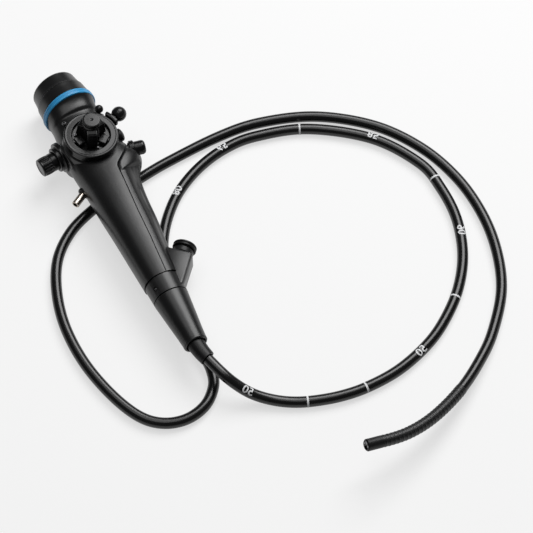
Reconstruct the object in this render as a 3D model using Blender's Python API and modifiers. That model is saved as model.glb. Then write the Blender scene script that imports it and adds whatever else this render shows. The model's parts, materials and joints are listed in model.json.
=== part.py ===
"""Flexible endoscope: handle with eyepiece, star knob, levers and valves, a coiled
insertion tube on the floor, a bending section of eight links and a distal tip.

Metres, +Z up. The handle lies along Y with its eyepiece towards +Y. Handle sizes
are taken from the point where the star knob's axis crosses the handle's axis.
"""
import math

import bmesh
import bpy
from mathutils import Matrix, Quaternion, Vector

MM = 0.001

# Clearances
GAP = 0.3 * MM
SEAT = 0.3 * MM

# Place of the handle: its eyepiece band rests on the floor
HANDLE_X = 1.15 * MM
HANDLE_Y = 44.71 * MM

# Eyepiece head, stations along Y
RIM_Y = 49.9 * MM
CUP_FOOT_Y = 42.1 * MM
RING_TOP_Y = 41.8 * MM
RING_FOOT_Y = 34.4 * MM
BAND_FOOT_Y = 30.8 * MM
RIM_RADIUS = 12.6 * MM
CUP_FOOT_RADIUS = 13.5 * MM
RING_TOP_RADIUS = 14.0 * MM
RING_FOOT_RADIUS = 14.7 * MM
BAND_RADIUS = 15.25 * MM
BARREL_RADIUS = 11.0 * MM
BARREL_BORE = 7.2 * MM
BARREL_FOOT_Y = 24.6 * MM
CUP_MOUTH_RADIUS = 10.9 * MM
LENS_RADIUS = 8.0 * MM
LENS_THICKNESS = 2.2 * MM
FERRULE_Y = 26.4 * MM
FERRULE_LENGTH = 3.0 * MM

# The head is turned a little to the left of the grip's line, beyond the neck
HEAD_TURN = math.radians(6.0)
HEAD_CROSS = (3.9 * MM, 0.2 * MM)
NECK_START_Y = 16.0 * MM
NECK_SHIFT = 0.7 * MM

# Control body
SHELL_TOP_Y = 30.5 * MM
SHELL_FOOT_Y = -88.8 * MM
WALL = 2.2 * MM
CAVITY_TOP_Y = 18.0 * MM
CAVITY_FOOT_Y = -81.6 * MM
SEAM_GAP = 0.35 * MM
RAIL_WIDTH = 5.0 * MM
RAIL_THICKNESS = 1.4 * MM
RAIL_LOW = -6.5 * MM

# Lower handle
COLLAR_TOP_Y = -89.1 * MM
COLLAR_FOOT_Y = -98.9 * MM
COLLAR_TOP_RADIUS = 9.75 * MM
COLLAR_FOOT_RADIUS = 9.3 * MM
COLLAR_BORE = 4.0 * MM
SPIGOT_RADIUS = 6.2 * MM
SPIGOT_LENGTH = 5.5 * MM
CONE_TOP_Y = -99.2 * MM
CONE_FOOT_Y = -129.4 * MM
CONE_TOP_RADIUS = 9.3 * MM
CONE_FOOT_RADIUS = 6.25 * MM
CONE_WALL = 1.3 * MM
BOOT_LENGTH = 17.0 * MM
BOOT_INSERT = 7.0 * MM
BOOT_STEPS = 4
BOOT_ROOT_RADIUS = 5.0 * MM
BOOT_END_RADIUS = 4.1 * MM

# Biopsy port, on an axis in the handle's level plane
PORT_ANGLE = math.radians(40.0)
PORT_CROSS_Y = -97.0 * MM
PORT_FACE = 24.8 * MM
PORT_BORE = 2.6 * MM
PORT_NECK_RADIUS = 5.45 * MM
PORT_NECK_LENGTH = 4.4 * MM
PORT_CAP_RADIUS = 6.25 * MM
PORT_CAP_LENGTH = 2.7 * MM
PORT_SHELL_RADIUS = 6.4 * MM
PORT_SHELL_HALF = 6.15 * MM

# Star knob and what shares its axis; heights are along the leaning axis
KNOB_X = -0.25 * MM
KNOB_Y = 2.4 * MM
KNOB_LEAN_RIGHT = math.radians(3.4)
KNOB_LEAN_BACK = math.radians(3.0)
BOSS_POST_RADIUS = 11.9 * MM
BOSS_RADIUS = BOSS_POST_RADIUS + 2.0 * MM
BOSS_TOP = 11.0 * MM
POST_HEIGHT = 3.1 * MM
BOSS_CLEARING = BOSS_RADIUS + 1.3 * MM
LEVER_THICKNESS = 1.2 * MM
DISC_RADIUS = 14.25 * MM
DISC_THICKNESS = 2.2 * MM
DISC_RECESS_RADIUS = 10.15 * MM
DISC_RECESS_DEPTH = 1.2 * MM
STAR_ARMS = 6
STAR_RADIUS = 9.7 * MM
STAR_HUB_RADIUS = 4.7 * MM
STAR_HEIGHT = 11.6 * MM
CAP_RADIUS = 4.65 * MM
CAP_THICKNESS = 2.4 * MM
SHAFT_RADIUS = 2.0 * MM
BUSH_RADIUS = 3.4 * MM
DRUM_RADIUS = 6.5 * MM
DRUM_HEIGHT = 5.6 * MM

# Levers, angles from +X about the knob axis
BRAKE_ANGLE = math.radians(22.5)
BRAKE_REACH = DISC_RADIUS + 6.95 * MM
BRAKE_BALL_RADIUS = 4.05 * MM
BRAKE_BALL_RISE = 13.8 * MM
LOCK_ANGLE = math.radians(52.5)
LOCK_REACH = DISC_RADIUS + 3.35 * MM
LOCK_BALL_RADIUS = 2.3 * MM
LOCK_BALL_RISE = 15.4 * MM

# Suction valve on the left
VALVE_BASE = (-14.0 * MM, 5.9 * MM, 0.7 * MM)
VALVE_AIM = (-0.989, -0.15, 0.0)
VALVE_KNOB_RADIUS = 5.0 * MM
VALVE_BORE = VALVE_KNOB_RADIUS + GAP
VALVE_COLLAR_RADIUS = VALVE_BORE + 1.5 * MM
VALVE_FLANGE_RADIUS = VALVE_COLLAR_RADIUS + 1.6 * MM
VALVE_BOSS_RADIUS = VALVE_FLANGE_RADIUS + 0.9 * MM
VALVE_BOSS_SHIFT = 4.1 * MM
VALVE_BOSS_TOP = 1.4 * MM
VALVE_KNOB_END = 14.6 * MM
VALVE_STEM_RADIUS = 1.2 * MM

# Suction nipple, also on the left
NIPPLE_BASE = (-11.7 * MM, -18.1 * MM, -1.6 * MM)
NIPPLE_AIM = (-0.833, -0.554, 0.0)
NIPPLE_RADIUS = 2.05 * MM
NIPPLE_BORE = 1.35 * MM
NIPPLE_END = 10.6 * MM
NIPPLE_COLLAR_RADIUS = 3.4 * MM

# Remote button and dome button on the right
BUTTON_BASE = (19.7 * MM, -8.0 * MM, 3.8 * MM)
BUTTON_AIM = (0.985, -0.17, 0.0)
BUTTON_RADIUS = 3.85 * MM
BUTTON_END = 6.9 * MM
BUTTON_COLLAR_RADIUS = 4.8 * MM
DOME_BASE = (16.8 * MM, 2.3 * MM, 5.3 * MM)
DOME_AIM = (0.97, 0.0, 0.24)
DOME_RADIUS = 3.6 * MM
DOME_RISE = 2.2 * MM

# Insertion tube, bending section and tip
TUBE_RADIUS = 2.9 * MM
TUBE_START_Y = -112.0 * MM
TUBE_POINTS = 80
LINKS = 8
LINK_PITCH = 7.0 * MM
LINK_RADIUS = 3.15 * MM
LINK_SLOPE = math.tan(math.radians(11.5))
FIRST_LINK_SLOPE = math.tan(math.radians(23.0))
TIP_LENGTH = 9.0 * MM
TIP_RADIUS = 3.1 * MM
CHANNEL_RADIUS = 1.4 * MM

# Route of the tube's centre after the boot, chosen by hand from the picture: x and y from
# the handle's origin, height above the floor, in mm
ROUTE = [
    (5.0, -149.2, 13.6), (9.6, -156.8, 10.0), (15.2, -162.8, 6.4), (22.6, -168.4, 3.9),
    (31.2, -173.6, 2.9), (41.0, -177.8, 2.9), (55.0, -181.4, 2.9), (70.0, -182.6, 2.9),
    (88.6, -180.6, 2.9), (107.4, -174.2, 2.9), (122.4, -165.3, 2.9), (138.0, -151.4, 2.9),
    (150.6, -133.4, 2.9), (158.4, -112.0, 2.9), (160.2, -91.0, 2.9), (157.6, -72.0, 2.9),
    (142.2, -46.6, 2.9), (114.2, -26.0, 2.9), (86.8, -18.2, 2.9), (68.9, -18.2, 2.9),
    (51.2, -23.3, 2.9), (35.2, -32.6, 2.9), (22.6, -45.0, 2.9), (13.6, -58.6, 2.9),
    (8.4, -73.0, 2.9), (5.8, -90.0, 2.9), (4.6, -112.0, 2.9), (3.8, -130.0, 2.9),
    (3.4, -139.5, 2.9), (0.4, -148.5, 2.9), (-8.0, -156.7, 2.9), (-19.7, -159.8, 2.9),
    (-31.4, -156.7, 2.9), (-40.6, -147.6, 2.9), (-47.9, -130.0, 2.9), (-52.6, -107.2, 2.9),
    (-52.8, -83.6, 2.9), (-48.3, -62.4, 2.9), (-40.1, -44.6, 2.9), (-27.6, -32.0, 2.9),
    (-12.8, -24.4, 2.9), (3.4, -19.6, 2.9), (20.3, -16.0, 2.9), (37.3, -12.9, 2.9),
    (68.8, -9.6, 2.9), (93.0, -11.0, 2.9), (121.7, -20.4, 2.9), (147.2, -39.6, 2.9),
    (163.1, -63.5, 2.9), (170.9, -89.0, 2.9), (172.0, -114.6, 2.9), (167.7, -138.6, 2.9),
    (158.1, -161.4, 2.9), (141.6, -182.0, 3.4), (126.6, -195.2, 5.6), (109.0, -207.4, 9.2),
    (89.5, -217.0, 13.6), (72.6, -221.8, 17.8), (57.6, -222.4, 21.6), (47.9, -220.4, 24.0),
]

# Plan outline of the split between shell and side cover, in mm
SEAM = [(18.6, -4.6), (16.6, -7.4), (7.2, -17.4), (6.5, -19.2), (5.9, -23.0), (9.1, -57.0), (2.9, -89.4)]

# Body stations: y, half widths left, right, up, down, in mm
STATIONS = [
    (30.5, 14.2, 14.2, 14.2, 14.2),
    (27.3, 13.7, 13.7, 12.6, 13.5),
    (22.8, 13.5, 13.5, 10.7, 12.2),
    (16.5, 13.8, 14.3, 10.3, 10.6),
    (7.4, 14.7, 16.4, 11.3, 9.4),
    (-1.8, 14.9, 17.6, 11.8, 9.1),
    (-7.9, 14.7, 20.7, 11.8, 9.1),
    (-12.6, 14.4, 22.3, 11.8, 9.1),
    (-16.8, 14.1, 20.8, 11.9, 9.1),
    (-21.6, 13.7, 17.6, 12.0, 9.1),
    (-29.2, 13.3, 15.6, 12.1, 9.1),
    (-39.8, 12.8, 14.3, 12.0, 9.1),
    (-53.5, 11.9, 13.4, 11.5, 9.1),
    (-71.4, 11.0, 11.6, 10.8, 9.1),
    (-88.8, 10.1, 10.1, 10.1, 9.1),
]
BODY_POINTS = 40
BODY_SQUARENESS = 2.35

COLOURS = {
    "black_plastic": ((0.030, 0.031, 0.033, 1.0), 0.42, 0.0),
    "soft_black": ((0.020, 0.021, 0.022, 1.0), 0.55, 0.0),
    "tube_skin": ((0.012, 0.012, 0.013, 1.0), 0.28, 0.0),
    "blue_band": ((0.035, 0.245, 0.490, 1.0), 0.35, 0.0),
    "steel": ((0.62, 0.58, 0.52, 1.0), 0.25, 1.0),
    "brass": ((0.66, 0.50, 0.26, 1.0), 0.35, 1.0),
    "glass": ((0.70, 0.76, 0.82, 1.0), 0.05, 0.0),
    "fibre": ((0.55, 0.52, 0.42, 1.0), 0.50, 0.0),
}


def clear_scene():
    for item in list(bpy.data.objects):
        bpy.data.objects.remove(item, do_unlink=True)


def make_collection(name):
    found = bpy.data.collections.get(name)
    if found is None:
        found = bpy.data.collections.new(name)
        bpy.context.scene.collection.children.link(found)
    return found


def make_material(name):
    colour, roughness, metallic = COLOURS[name]
    found = bpy.data.materials.get(name)
    if found is None:
        found = bpy.data.materials.new(name)
    found.use_nodes = True
    found.diffuse_color = colour
    shader = found.node_tree.nodes["Principled BSDF"]
    shader.inputs["Base Color"].default_value = colour
    shader.inputs["Roughness"].default_value = roughness
    shader.inputs["Metallic"].default_value = metallic
    return found


def add_object(name, data, parent, finish, home):
    """Link an object under its parent; cutters stay out of the renders."""
    made = bpy.data.objects.new(name, data)
    home.objects.link(made)
    made.parent = parent
    if finish is None:
        made.hide_render = True
        made.display_type = "WIRE"
    else:
        made.data.materials.append(make_material(finish))
    return made


def add_empty(name, parent, place, aim=(0.0, 0.0, 1.0)):
    made = bpy.data.objects.new(name, None)
    PARTS.objects.link(made)
    made.empty_display_size = 5.0 * MM
    made.parent = parent
    made.location = place
    made.rotation_mode = "QUATERNION"
    made.rotation_quaternion = Vector((0.0, 0.0, 1.0)).rotation_difference(Vector(aim))
    return made


def home_of(finish):
    return CUTTERS if finish is None else PARTS


def turned(name, profile, parent, finish, steps=32, closed=False):
    """Turn a profile of radius and height about the parent's Z axis."""
    mesh = bpy.data.meshes.new(name)
    points = [(radius, 0.0, height) for radius, height in profile]
    edges = [(i, i + 1) for i in range(len(points) - 1)]
    if closed:
        edges.append((len(points) - 1, 0))
    mesh.from_pydata(points, edges, [])
    made = add_object(name, mesh, parent, finish, home_of(finish))
    screw = made.modifiers.new("turn", "SCREW")
    screw.axis = "Z"
    screw.steps = steps
    screw.render_steps = steps
    screw.use_merge_vertices = True
    screw.merge_threshold = 0.00001
    screw.use_smooth_shade = True
    return made


def rod(name, radius, low, high, parent, finish=None, steps=24):
    profile = [(0.0, high), (radius, high), (radius, low), (0.0, low)]
    return turned(name, profile, parent, finish, steps)


def ring(name, inner, outer, low, high, parent, finish, steps=32):
    profile = [(inner, high), (outer, high), (outer, low), (inner, low)]
    return turned(name, profile, parent, finish, steps, closed=True)


def closed_mesh(name, points, faces, parent, finish):
    mesh = bpy.data.meshes.new(name)
    mesh.from_pydata(points, [], faces)
    work = bmesh.new()
    work.from_mesh(mesh)
    bmesh.ops.recalc_face_normals(work, faces=work.faces)
    work.to_mesh(mesh)
    work.free()
    return add_object(name, mesh, parent, finish, home_of(finish))


def loft(name, rings, parent, finish):
    """Join rings of equal count into one closed skin with flat ends."""
    count = len(rings[0])
    points = [point for loop in rings for point in loop]
    faces = []
    for row in range(len(rings) - 1):
        for i in range(count):
            j = (i + 1) % count
            low = row * count
            faces.append((low + i, low + j, low + count + j, low + count + i))
    faces.append(tuple(range(count)))
    last = (len(rings) - 1) * count
    faces.append(tuple(last + i for i in range(count)))
    made = closed_mesh(name, points, faces, parent, finish)
    made.data.shade_smooth()
    made.data.set_sharp_from_angle(angle=math.radians(35.0))
    return made


def prism(name, outline, low, high, parent, finish=None):
    """Raise a plan outline between two heights."""
    count = len(outline)
    points = [(x, y, low) for x, y in outline] + [(x, y, high) for x, y in outline]
    faces = [tuple(range(count)), tuple(count + i for i in range(count))]
    for i in range(count):
        j = (i + 1) % count
        faces.append((i, j, count + j, count + i))
    return closed_mesh(name, points, faces, parent, finish)


def cut(target, tool, operation="DIFFERENCE"):
    step = target.modifiers.new(operation.lower(), "BOOLEAN")
    step.operation = operation
    step.solver = "EXACT"
    step.object = tool
    return step


def bevel(target, width, segments=2, angle=35.0):
    step = target.modifiers.new("edges", "BEVEL")
    step.width = width
    step.segments = segments
    step.limit_method = "ANGLE"
    step.angle_limit = math.radians(angle)
    return step


def wire(name, points, radius, parent, finish, resolution=2):
    """A round wire or tube along given points, with filled ends."""
    curve = bpy.data.curves.new(name, "CURVE")
    curve.dimensions = "3D"
    line = curve.splines.new("POLY")
    line.points.add(len(points) - 1)
    for slot, point in zip(line.points, points):
        slot.co = (point[0], point[1], point[2], 1.0)
    curve.bevel_depth = radius
    curve.bevel_resolution = resolution
    curve.use_fill_caps = True
    return add_object(name, curve, parent, finish, PARTS)


def ball(name, radius, parent, finish, rings=12, around=20):
    mesh = bpy.data.meshes.new(name)
    work = bmesh.new()
    bmesh.ops.create_uvsphere(work, u_segments=around, v_segments=rings, radius=radius)
    work.to_mesh(mesh)
    work.free()
    mesh.shade_smooth()
    return add_object(name, mesh, parent, finish, home_of(finish))


def smooth_path(points, steps):
    """Catmull-Rom curve through the points."""
    ends = [2 * points[0] - points[1]] + list(points) + [2 * points[-1] - points[-2]]
    path = []
    for i in range(1, len(ends) - 2):
        a, b, c, d = ends[i - 1:i + 3]
        for k in range(steps):
            t = k / steps
            path.append(0.5 * (2 * b + (c - a) * t + (2 * a - 5 * b + 4 * c - d) * t * t
                               + (3 * b - a - 3 * c + d) * t * t * t))
    path.append(ends[-2].copy())
    return path


def lengths_along(path):
    total = [0.0]
    for a, b in zip(path, path[1:]):
        total.append(total[-1] + (b - a).length)
    return total


def point_at(path, total, distance):
    """Point of the path at a distance from its start."""
    for i in range(len(total) - 1):
        if total[i + 1] >= distance:
            share = (distance - total[i]) / (total[i + 1] - total[i])
            return path[i].lerp(path[i + 1], share)
    return path[-1].copy()


def body_ring(station, inset):
    """One closed section of the control body, drawn in by the inset."""
    y, left, right, up, down = [value * MM for value in station]
    power = 2.0 / BODY_SQUARENESS
    share = max(0.0, (y - NECK_START_Y) / (SHELL_TOP_Y - NECK_START_Y))
    turn = Matrix.Rotation(HEAD_TURN * share, 3, "Z")
    middle = Vector((NECK_SHIFT * share, y, 0.0))
    loop = []
    for i in range(BODY_POINTS):
        angle = 2.0 * math.pi * i / BODY_POINTS
        cosine = math.cos(angle)
        sine = math.sin(angle)
        across = (right if cosine > 0 else left) - inset
        height = (up if sine > 0 else down) - inset
        loop.append(middle + turn @ Vector((math.copysign(abs(cosine) ** power, cosine) * across, 0.0,
                                            math.copysign(abs(sine) ** power, sine) * height)))
    return loop


def station_at(y):
    """Body station at any place along the handle, in mm."""
    for upper, lower in zip(STATIONS, STATIONS[1:]):
        if upper[0] >= y >= lower[0]:
            share = (upper[0] - y) / (upper[0] - lower[0])
            return tuple(a + (b - a) * share for a, b in zip(upper, lower))
    return STATIONS[-1]


def body_solid(name, inset, top, foot, finish=None):
    """Loft of the control body between two stations."""
    places = [top / MM] + [s[0] for s in STATIONS if foot / MM < s[0] < top / MM] + [foot / MM]
    rings = [body_ring(station_at(y), inset) for y in places]
    return loft(name, rings, HANDLE, finish)


def seam_region(name, shift):
    """Everything to the right of the seam, moved by half the seam's gap."""
    left_edge = [(x * MM + shift, y * MM) for x, y in SEAM]
    reach = 40.0 * MM
    outline = left_edge + [(reach, SEAM[-1][1] * MM), (reach, SEAM[0][1] * MM + shift)]
    return prism(name, outline, -reach, reach, HANDLE)


def make_head():
    """Eyepiece cup, lens, barrel, focus ring, blue band and image bundle."""
    axis = HEAD
    shoulder = LENS_RADIUS + GAP
    lens_top = CUP_FOOT_Y + LENS_THICKNESS
    cup = [
        (CUP_MOUTH_RADIUS, RIM_Y), (RIM_RADIUS - 0.7 * MM, RIM_Y),
        (RIM_RADIUS, RIM_Y - 0.8 * MM), (CUP_FOOT_RADIUS, CUP_FOOT_Y),
        (shoulder, CUP_FOOT_Y), (shoulder, lens_top + GAP),
        (shoulder + 0.6 * MM, lens_top + 2 * GAP),
    ]
    turned("eyepiece_cup", cup, axis, "black_plastic", 40, closed=True)
    crown = [
        (0.0, lens_top), (LENS_RADIUS - 1.2 * MM, lens_top - 0.3 * MM),
        (LENS_RADIUS, lens_top - 0.8 * MM), (LENS_RADIUS, CUP_FOOT_Y), (0.0, CUP_FOOT_Y),
    ]
    turned("eyepiece_lens", crown, axis, "glass", 28)
    ring("lens_barrel", BARREL_BORE, BARREL_RADIUS, BARREL_FOOT_Y, RING_TOP_Y, axis, "soft_black", 32)
    inner = BARREL_RADIUS + GAP
    focus = [
        (inner, RING_TOP_Y), (RING_TOP_RADIUS - 0.3 * MM, RING_TOP_Y),
        (RING_TOP_RADIUS, RING_TOP_Y - 0.3 * MM), (RING_FOOT_RADIUS, RING_FOOT_Y),
        (inner, RING_FOOT_Y),
    ]
    turned("focus_ring", focus, axis, "black_plastic", 40, closed=True)
    band = [
        (inner, RING_FOOT_Y - GAP), (BAND_RADIUS - 0.3 * MM, RING_FOOT_Y - GAP),
        (BAND_RADIUS, RING_FOOT_Y - 2 * GAP), (BAND_RADIUS, BAND_FOOT_Y + GAP),
        (BAND_RADIUS - 0.3 * MM, BAND_FOOT_Y), (inner, BAND_FOOT_Y),
    ]
    turned("blue_band", band, axis, "blue_band", 40, closed=True)
    bundle_radius = 1.1 * MM
    ring("bundle_ferrule", bundle_radius + GAP, BARREL_BORE - GAP, FERRULE_Y,
         FERRULE_Y + FERRULE_LENGTH, axis, "brass", 24)
    route = [(0.55, 31.0, 0.0), (1.1, 26.0, 0.0), (1.6, 21.0, 0.3), (2.8, 17.2, 1.0), (6.6, 11.4, 3.0),
             (9.6, 6.0, 3.6), (9.8, -4.0, 3.6), (8.0, -14.0, 3.4), (4.0, -30.0, 2.6),
             (0.8, -50.0, 1.8), (-1.2, -72.0, 1.1), (-1.5, -88.0, 0.9), (-1.5, -110.0, 0.9)]
    wire("image_bundle", [Vector(p) * MM for p in route], bundle_radius, HANDLE, "fibre", 1)


def make_body():
    """Main shell and side cover: one lofted form, hollowed and split along the seam."""
    shell = body_solid("main_shell", 0.0, SHELL_TOP_Y, SHELL_FOOT_Y, "black_plastic")
    cover = body_solid("side_cover", 0.0, SHELL_TOP_Y, SHELL_FOOT_Y, "black_plastic")
    boss = turned("boss_form", [(0.0, BOSS_TOP + POST_HEIGHT), (BOSS_POST_RADIUS, BOSS_TOP + POST_HEIGHT),
                                (BOSS_POST_RADIUS, BOSS_TOP), (BOSS_RADIUS, BOSS_TOP),
                                (BOSS_RADIUS + 0.8 * MM, 2.0 * MM), (0.0, 2.0 * MM)], KNOB, None, 40)
    hollow = body_solid("hollow_form", WALL, CAVITY_TOP_Y, CAVITY_FOOT_Y)
    half = SEAM_GAP / 2.0
    table = turned("boss_table_form", [(BOSS_POST_RADIUS - 1.0 * MM, 40.0 * MM),
                                       (BOSS_CLEARING, 40.0 * MM), (BOSS_CLEARING, BOSS_TOP),
                                       (BOSS_POST_RADIUS - 1.0 * MM, BOSS_TOP)], KNOB, None, 40, closed=True)
    valve_boss = turned("valve_boss_form", [(0.0, VALVE_BOSS_TOP), (VALVE_BOSS_RADIUS - 0.8 * MM, VALVE_BOSS_TOP),
                                            (VALVE_BOSS_RADIUS, VALVE_BOSS_TOP - 0.9 * MM),
                                            (VALVE_BOSS_RADIUS, -5.0 * MM), (0.0, -5.0 * MM)], VALVE, None, 32)
    valve_boss.location = (0.0, -VALVE_BOSS_SHIFT, 0.0)
    cut(shell, valve_boss, "UNION")
    cut(shell, table)
    cut(shell, boss, "UNION")
    cut(shell, hollow)
    cut(shell, seam_region("seam_for_shell", -half))
    cut(cover, hollow)
    cut(cover, seam_region("seam_for_cover", half), "INTERSECT")
    barrel_seat = BARREL_RADIUS + GAP
    cut(shell, rod("barrel_seat_form", barrel_seat, BARREL_FOOT_Y - GAP, RIM_Y, HEAD, steps=32))
    cut(shell, rod("bundle_way_form", 4.2 * MM, CAVITY_TOP_Y - 4.0 * MM, RIM_Y, HEAD, steps=20))
    way_low = CAVITY_FOOT_Y + 4.0 * MM
    way = rod("spigot_way_form", SPIGOT_RADIUS + GAP, SHELL_FOOT_Y - 4.0 * MM, way_low, OPTICS, steps=28)
    cut(shell, way)
    cut(cover, way)
    cut(shell, rod("bush_way_form", BUSH_RADIUS + GAP, 5.0 * MM, BOSS_TOP + 8.0 * MM, KNOB, steps=24))
    cut(shell, rod("valve_way_form", VALVE_BORE + 0.2 * MM, -7.0 * MM, 9.0 * MM, VALVE, steps=28))
    cut(shell, rod("valve_flat_form", VALVE_FLANGE_RADIUS + GAP, 0.4 * MM, 9.0 * MM, VALVE, steps=28))
    cut(shell, rod("nipple_way_form", NIPPLE_COLLAR_RADIUS + GAP, -4.5 * MM, 9.0 * MM, NIPPLE, steps=20))
    cut(shell, rod("dome_way_form", DOME_RADIUS + GAP, -3.1 * MM, 9.0 * MM, DOME, steps=24))
    for place, radius, depth in ((BUTTON, BUTTON_COLLAR_RADIUS, 1.9 * MM), (BUTTON, BUTTON_RADIUS, 4.9 * MM)):
        form = rod("button_way_%d" % round(depth / MM), radius + GAP, -depth, 12.0 * MM, place, steps=24)
        cut(cover, form)
        cut(shell, form)
    wedge = prism("port_room_form", port_outline(GAP), -PORT_SHELL_RADIUS - GAP,
                  PORT_SHELL_RADIUS + GAP, HANDLE)
    cut(cover, wedge)
    cut(shell, wedge)
    cut(shell, rod("neck_screw_way", 1.5 * MM, -1.0 * MM, 6.0 * MM, NECK_SCREW, steps=16))
    for place in COVER_SCREWS:
        cut(cover, rod(place.name + "_way", 1.9 * MM, -1.0 * MM, 6.0 * MM, place, steps=16))
    width = RAIL_WIDTH / 2.0
    low = RAIL_LOW
    outline = [(-width, CAVITY_TOP_Y - 3.0 * MM), (width, CAVITY_TOP_Y - 3.0 * MM),
               (width * 0.8, CAVITY_FOOT_Y + 3.0 * MM), (-width * 0.8, CAVITY_FOOT_Y + 3.0 * MM)]
    outline = [(x, min(y, 8.0 * MM)) for x, y in outline]
    prism("chassis_rail", outline, low, low + RAIL_THICKNESS, HANDLE, "steel")


def port_outline(extra):
    """Plan of the port's flat-sided housing, grown all round by a margin."""
    reach = PORT_SHELL_HALF + extra
    aim = Vector((math.sin(PORT_ANGLE), math.cos(PORT_ANGLE)))
    side = Vector((aim.y, -aim.x))
    start = Vector((0.0, PORT_CROSS_Y))
    face = start + aim * (PORT_FACE + extra)
    corners = [face - side * (reach + 2.6 * MM), face + side * reach,
               start + aim * 4.0 * MM + side * reach, start - side * (reach - 2.4 * MM)]
    corners.append(Vector((corners[3].x + 2.2 * MM, corners[0].y - 12.0 * MM)))
    return [(c.x, c.y) for c in corners]


def make_lower_handle():
    """Collar with the port housing, nose cone and boot."""
    spigot_top = COLLAR_TOP_Y + SPIGOT_LENGTH
    body = [
        (COLLAR_BORE, spigot_top), (SPIGOT_RADIUS - 0.4 * MM, spigot_top),
        (SPIGOT_RADIUS, spigot_top - 0.4 * MM), (SPIGOT_RADIUS, COLLAR_TOP_Y),
        (COLLAR_TOP_RADIUS, COLLAR_TOP_Y), (COLLAR_FOOT_RADIUS, COLLAR_FOOT_Y),
        (COLLAR_BORE, COLLAR_FOOT_Y),
    ]
    collar = turned("lower_collar", body, OPTICS, "black_plastic", 36, closed=True)
    housing = prism("port_housing_form", port_outline(0.0), -PORT_SHELL_RADIUS,
                    PORT_SHELL_RADIUS, HANDLE)
    bevel(housing, 1.5 * MM, 2)
    foot = -COLLAR_FOOT_Y + 30.0 * MM
    keep = turned("collar_bore_form", [(0.0, RIM_Y), (COLLAR_BORE, RIM_Y), (COLLAR_BORE, -foot),
                                       (0.0, -foot)], OPTICS, None, 24)
    below = rod("below_collar_form", 40.0 * MM, COLLAR_FOOT_Y - 40.0 * MM, COLLAR_FOOT_Y, OPTICS, steps=24)
    cut(housing, below)
    cut(housing, rod("spigot_room_form", SPIGOT_RADIUS + 1.4 * MM, COLLAR_TOP_Y + 0.2 * MM,
                     RIM_Y, OPTICS, steps=28))
    cut(collar, housing, "UNION")
    cut(collar, keep)
    cut(collar, rod("port_bore_form", PORT_BORE, 2.0 * MM, PORT_FACE + 9.0 * MM, PORT, steps=20))
    cut(collar, rod("collar_screw_way", 1.0 * MM, -0.8 * MM, 4.0 * MM, COLLAR_SCREW, steps=14))
    cone = [
        (CONE_TOP_RADIUS - CONE_WALL, CONE_TOP_Y), (CONE_TOP_RADIUS, CONE_TOP_Y),
        (CONE_FOOT_RADIUS + 0.15 * MM, CONE_FOOT_Y + 1.2 * MM),
        (CONE_FOOT_RADIUS + 0.15 * MM, CONE_FOOT_Y + 0.4 * MM),
        (CONE_FOOT_RADIUS - 0.25 * MM, CONE_FOOT_Y),
        (BOOT_ROOT_RADIUS + GAP, CONE_FOOT_Y),
        (BOOT_ROOT_RADIUS + GAP, CONE_FOOT_Y + 8.0 * MM),
        (CONE_TOP_RADIUS - CONE_WALL, CONE_TOP_Y - 6.0 * MM),
    ]
    turned("nose_cone", cone, OPTICS, "black_plastic", 36, closed=True)
    make_boot()


def make_boot():
    """Strain relief: a hollow taper round the tube's own first points."""
    points, total, bend_start, path = tube_points()
    line = points[1:BOOT_STEPS + 2]
    outer = []
    inner = []
    for i, centre in enumerate(line):
        share = i / (len(line) - 1)
        turn = (points[i + 2] - points[i]).to_track_quat("Z", "Y")
        radius = BOOT_ROOT_RADIUS + (BOOT_END_RADIUS - BOOT_ROOT_RADIUS) * share
        for loop, size in ((outer, radius), (inner, TUBE_RADIUS + GAP)):
            loop.append([centre + turn @ Vector((size * math.cos(a), size * math.sin(a), 0.0))
                         for a in [2.0 * math.pi * k / 24 for k in range(24)]])
    loops = outer + inner[::-1]
    corners = [point for loop in loops for point in loop]
    faces = []
    for row in range(len(loops)):
        following = (row + 1) % len(loops)
        for i in range(24):
            j = (i + 1) % 24
            faces.append((row * 24 + i, row * 24 + j, following * 24 + j, following * 24 + i))
    made = closed_mesh("boot", corners, faces, None, "soft_black")
    made.data.shade_smooth()
    made.data.set_sharp_from_angle(angle=math.radians(35.0))


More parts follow.
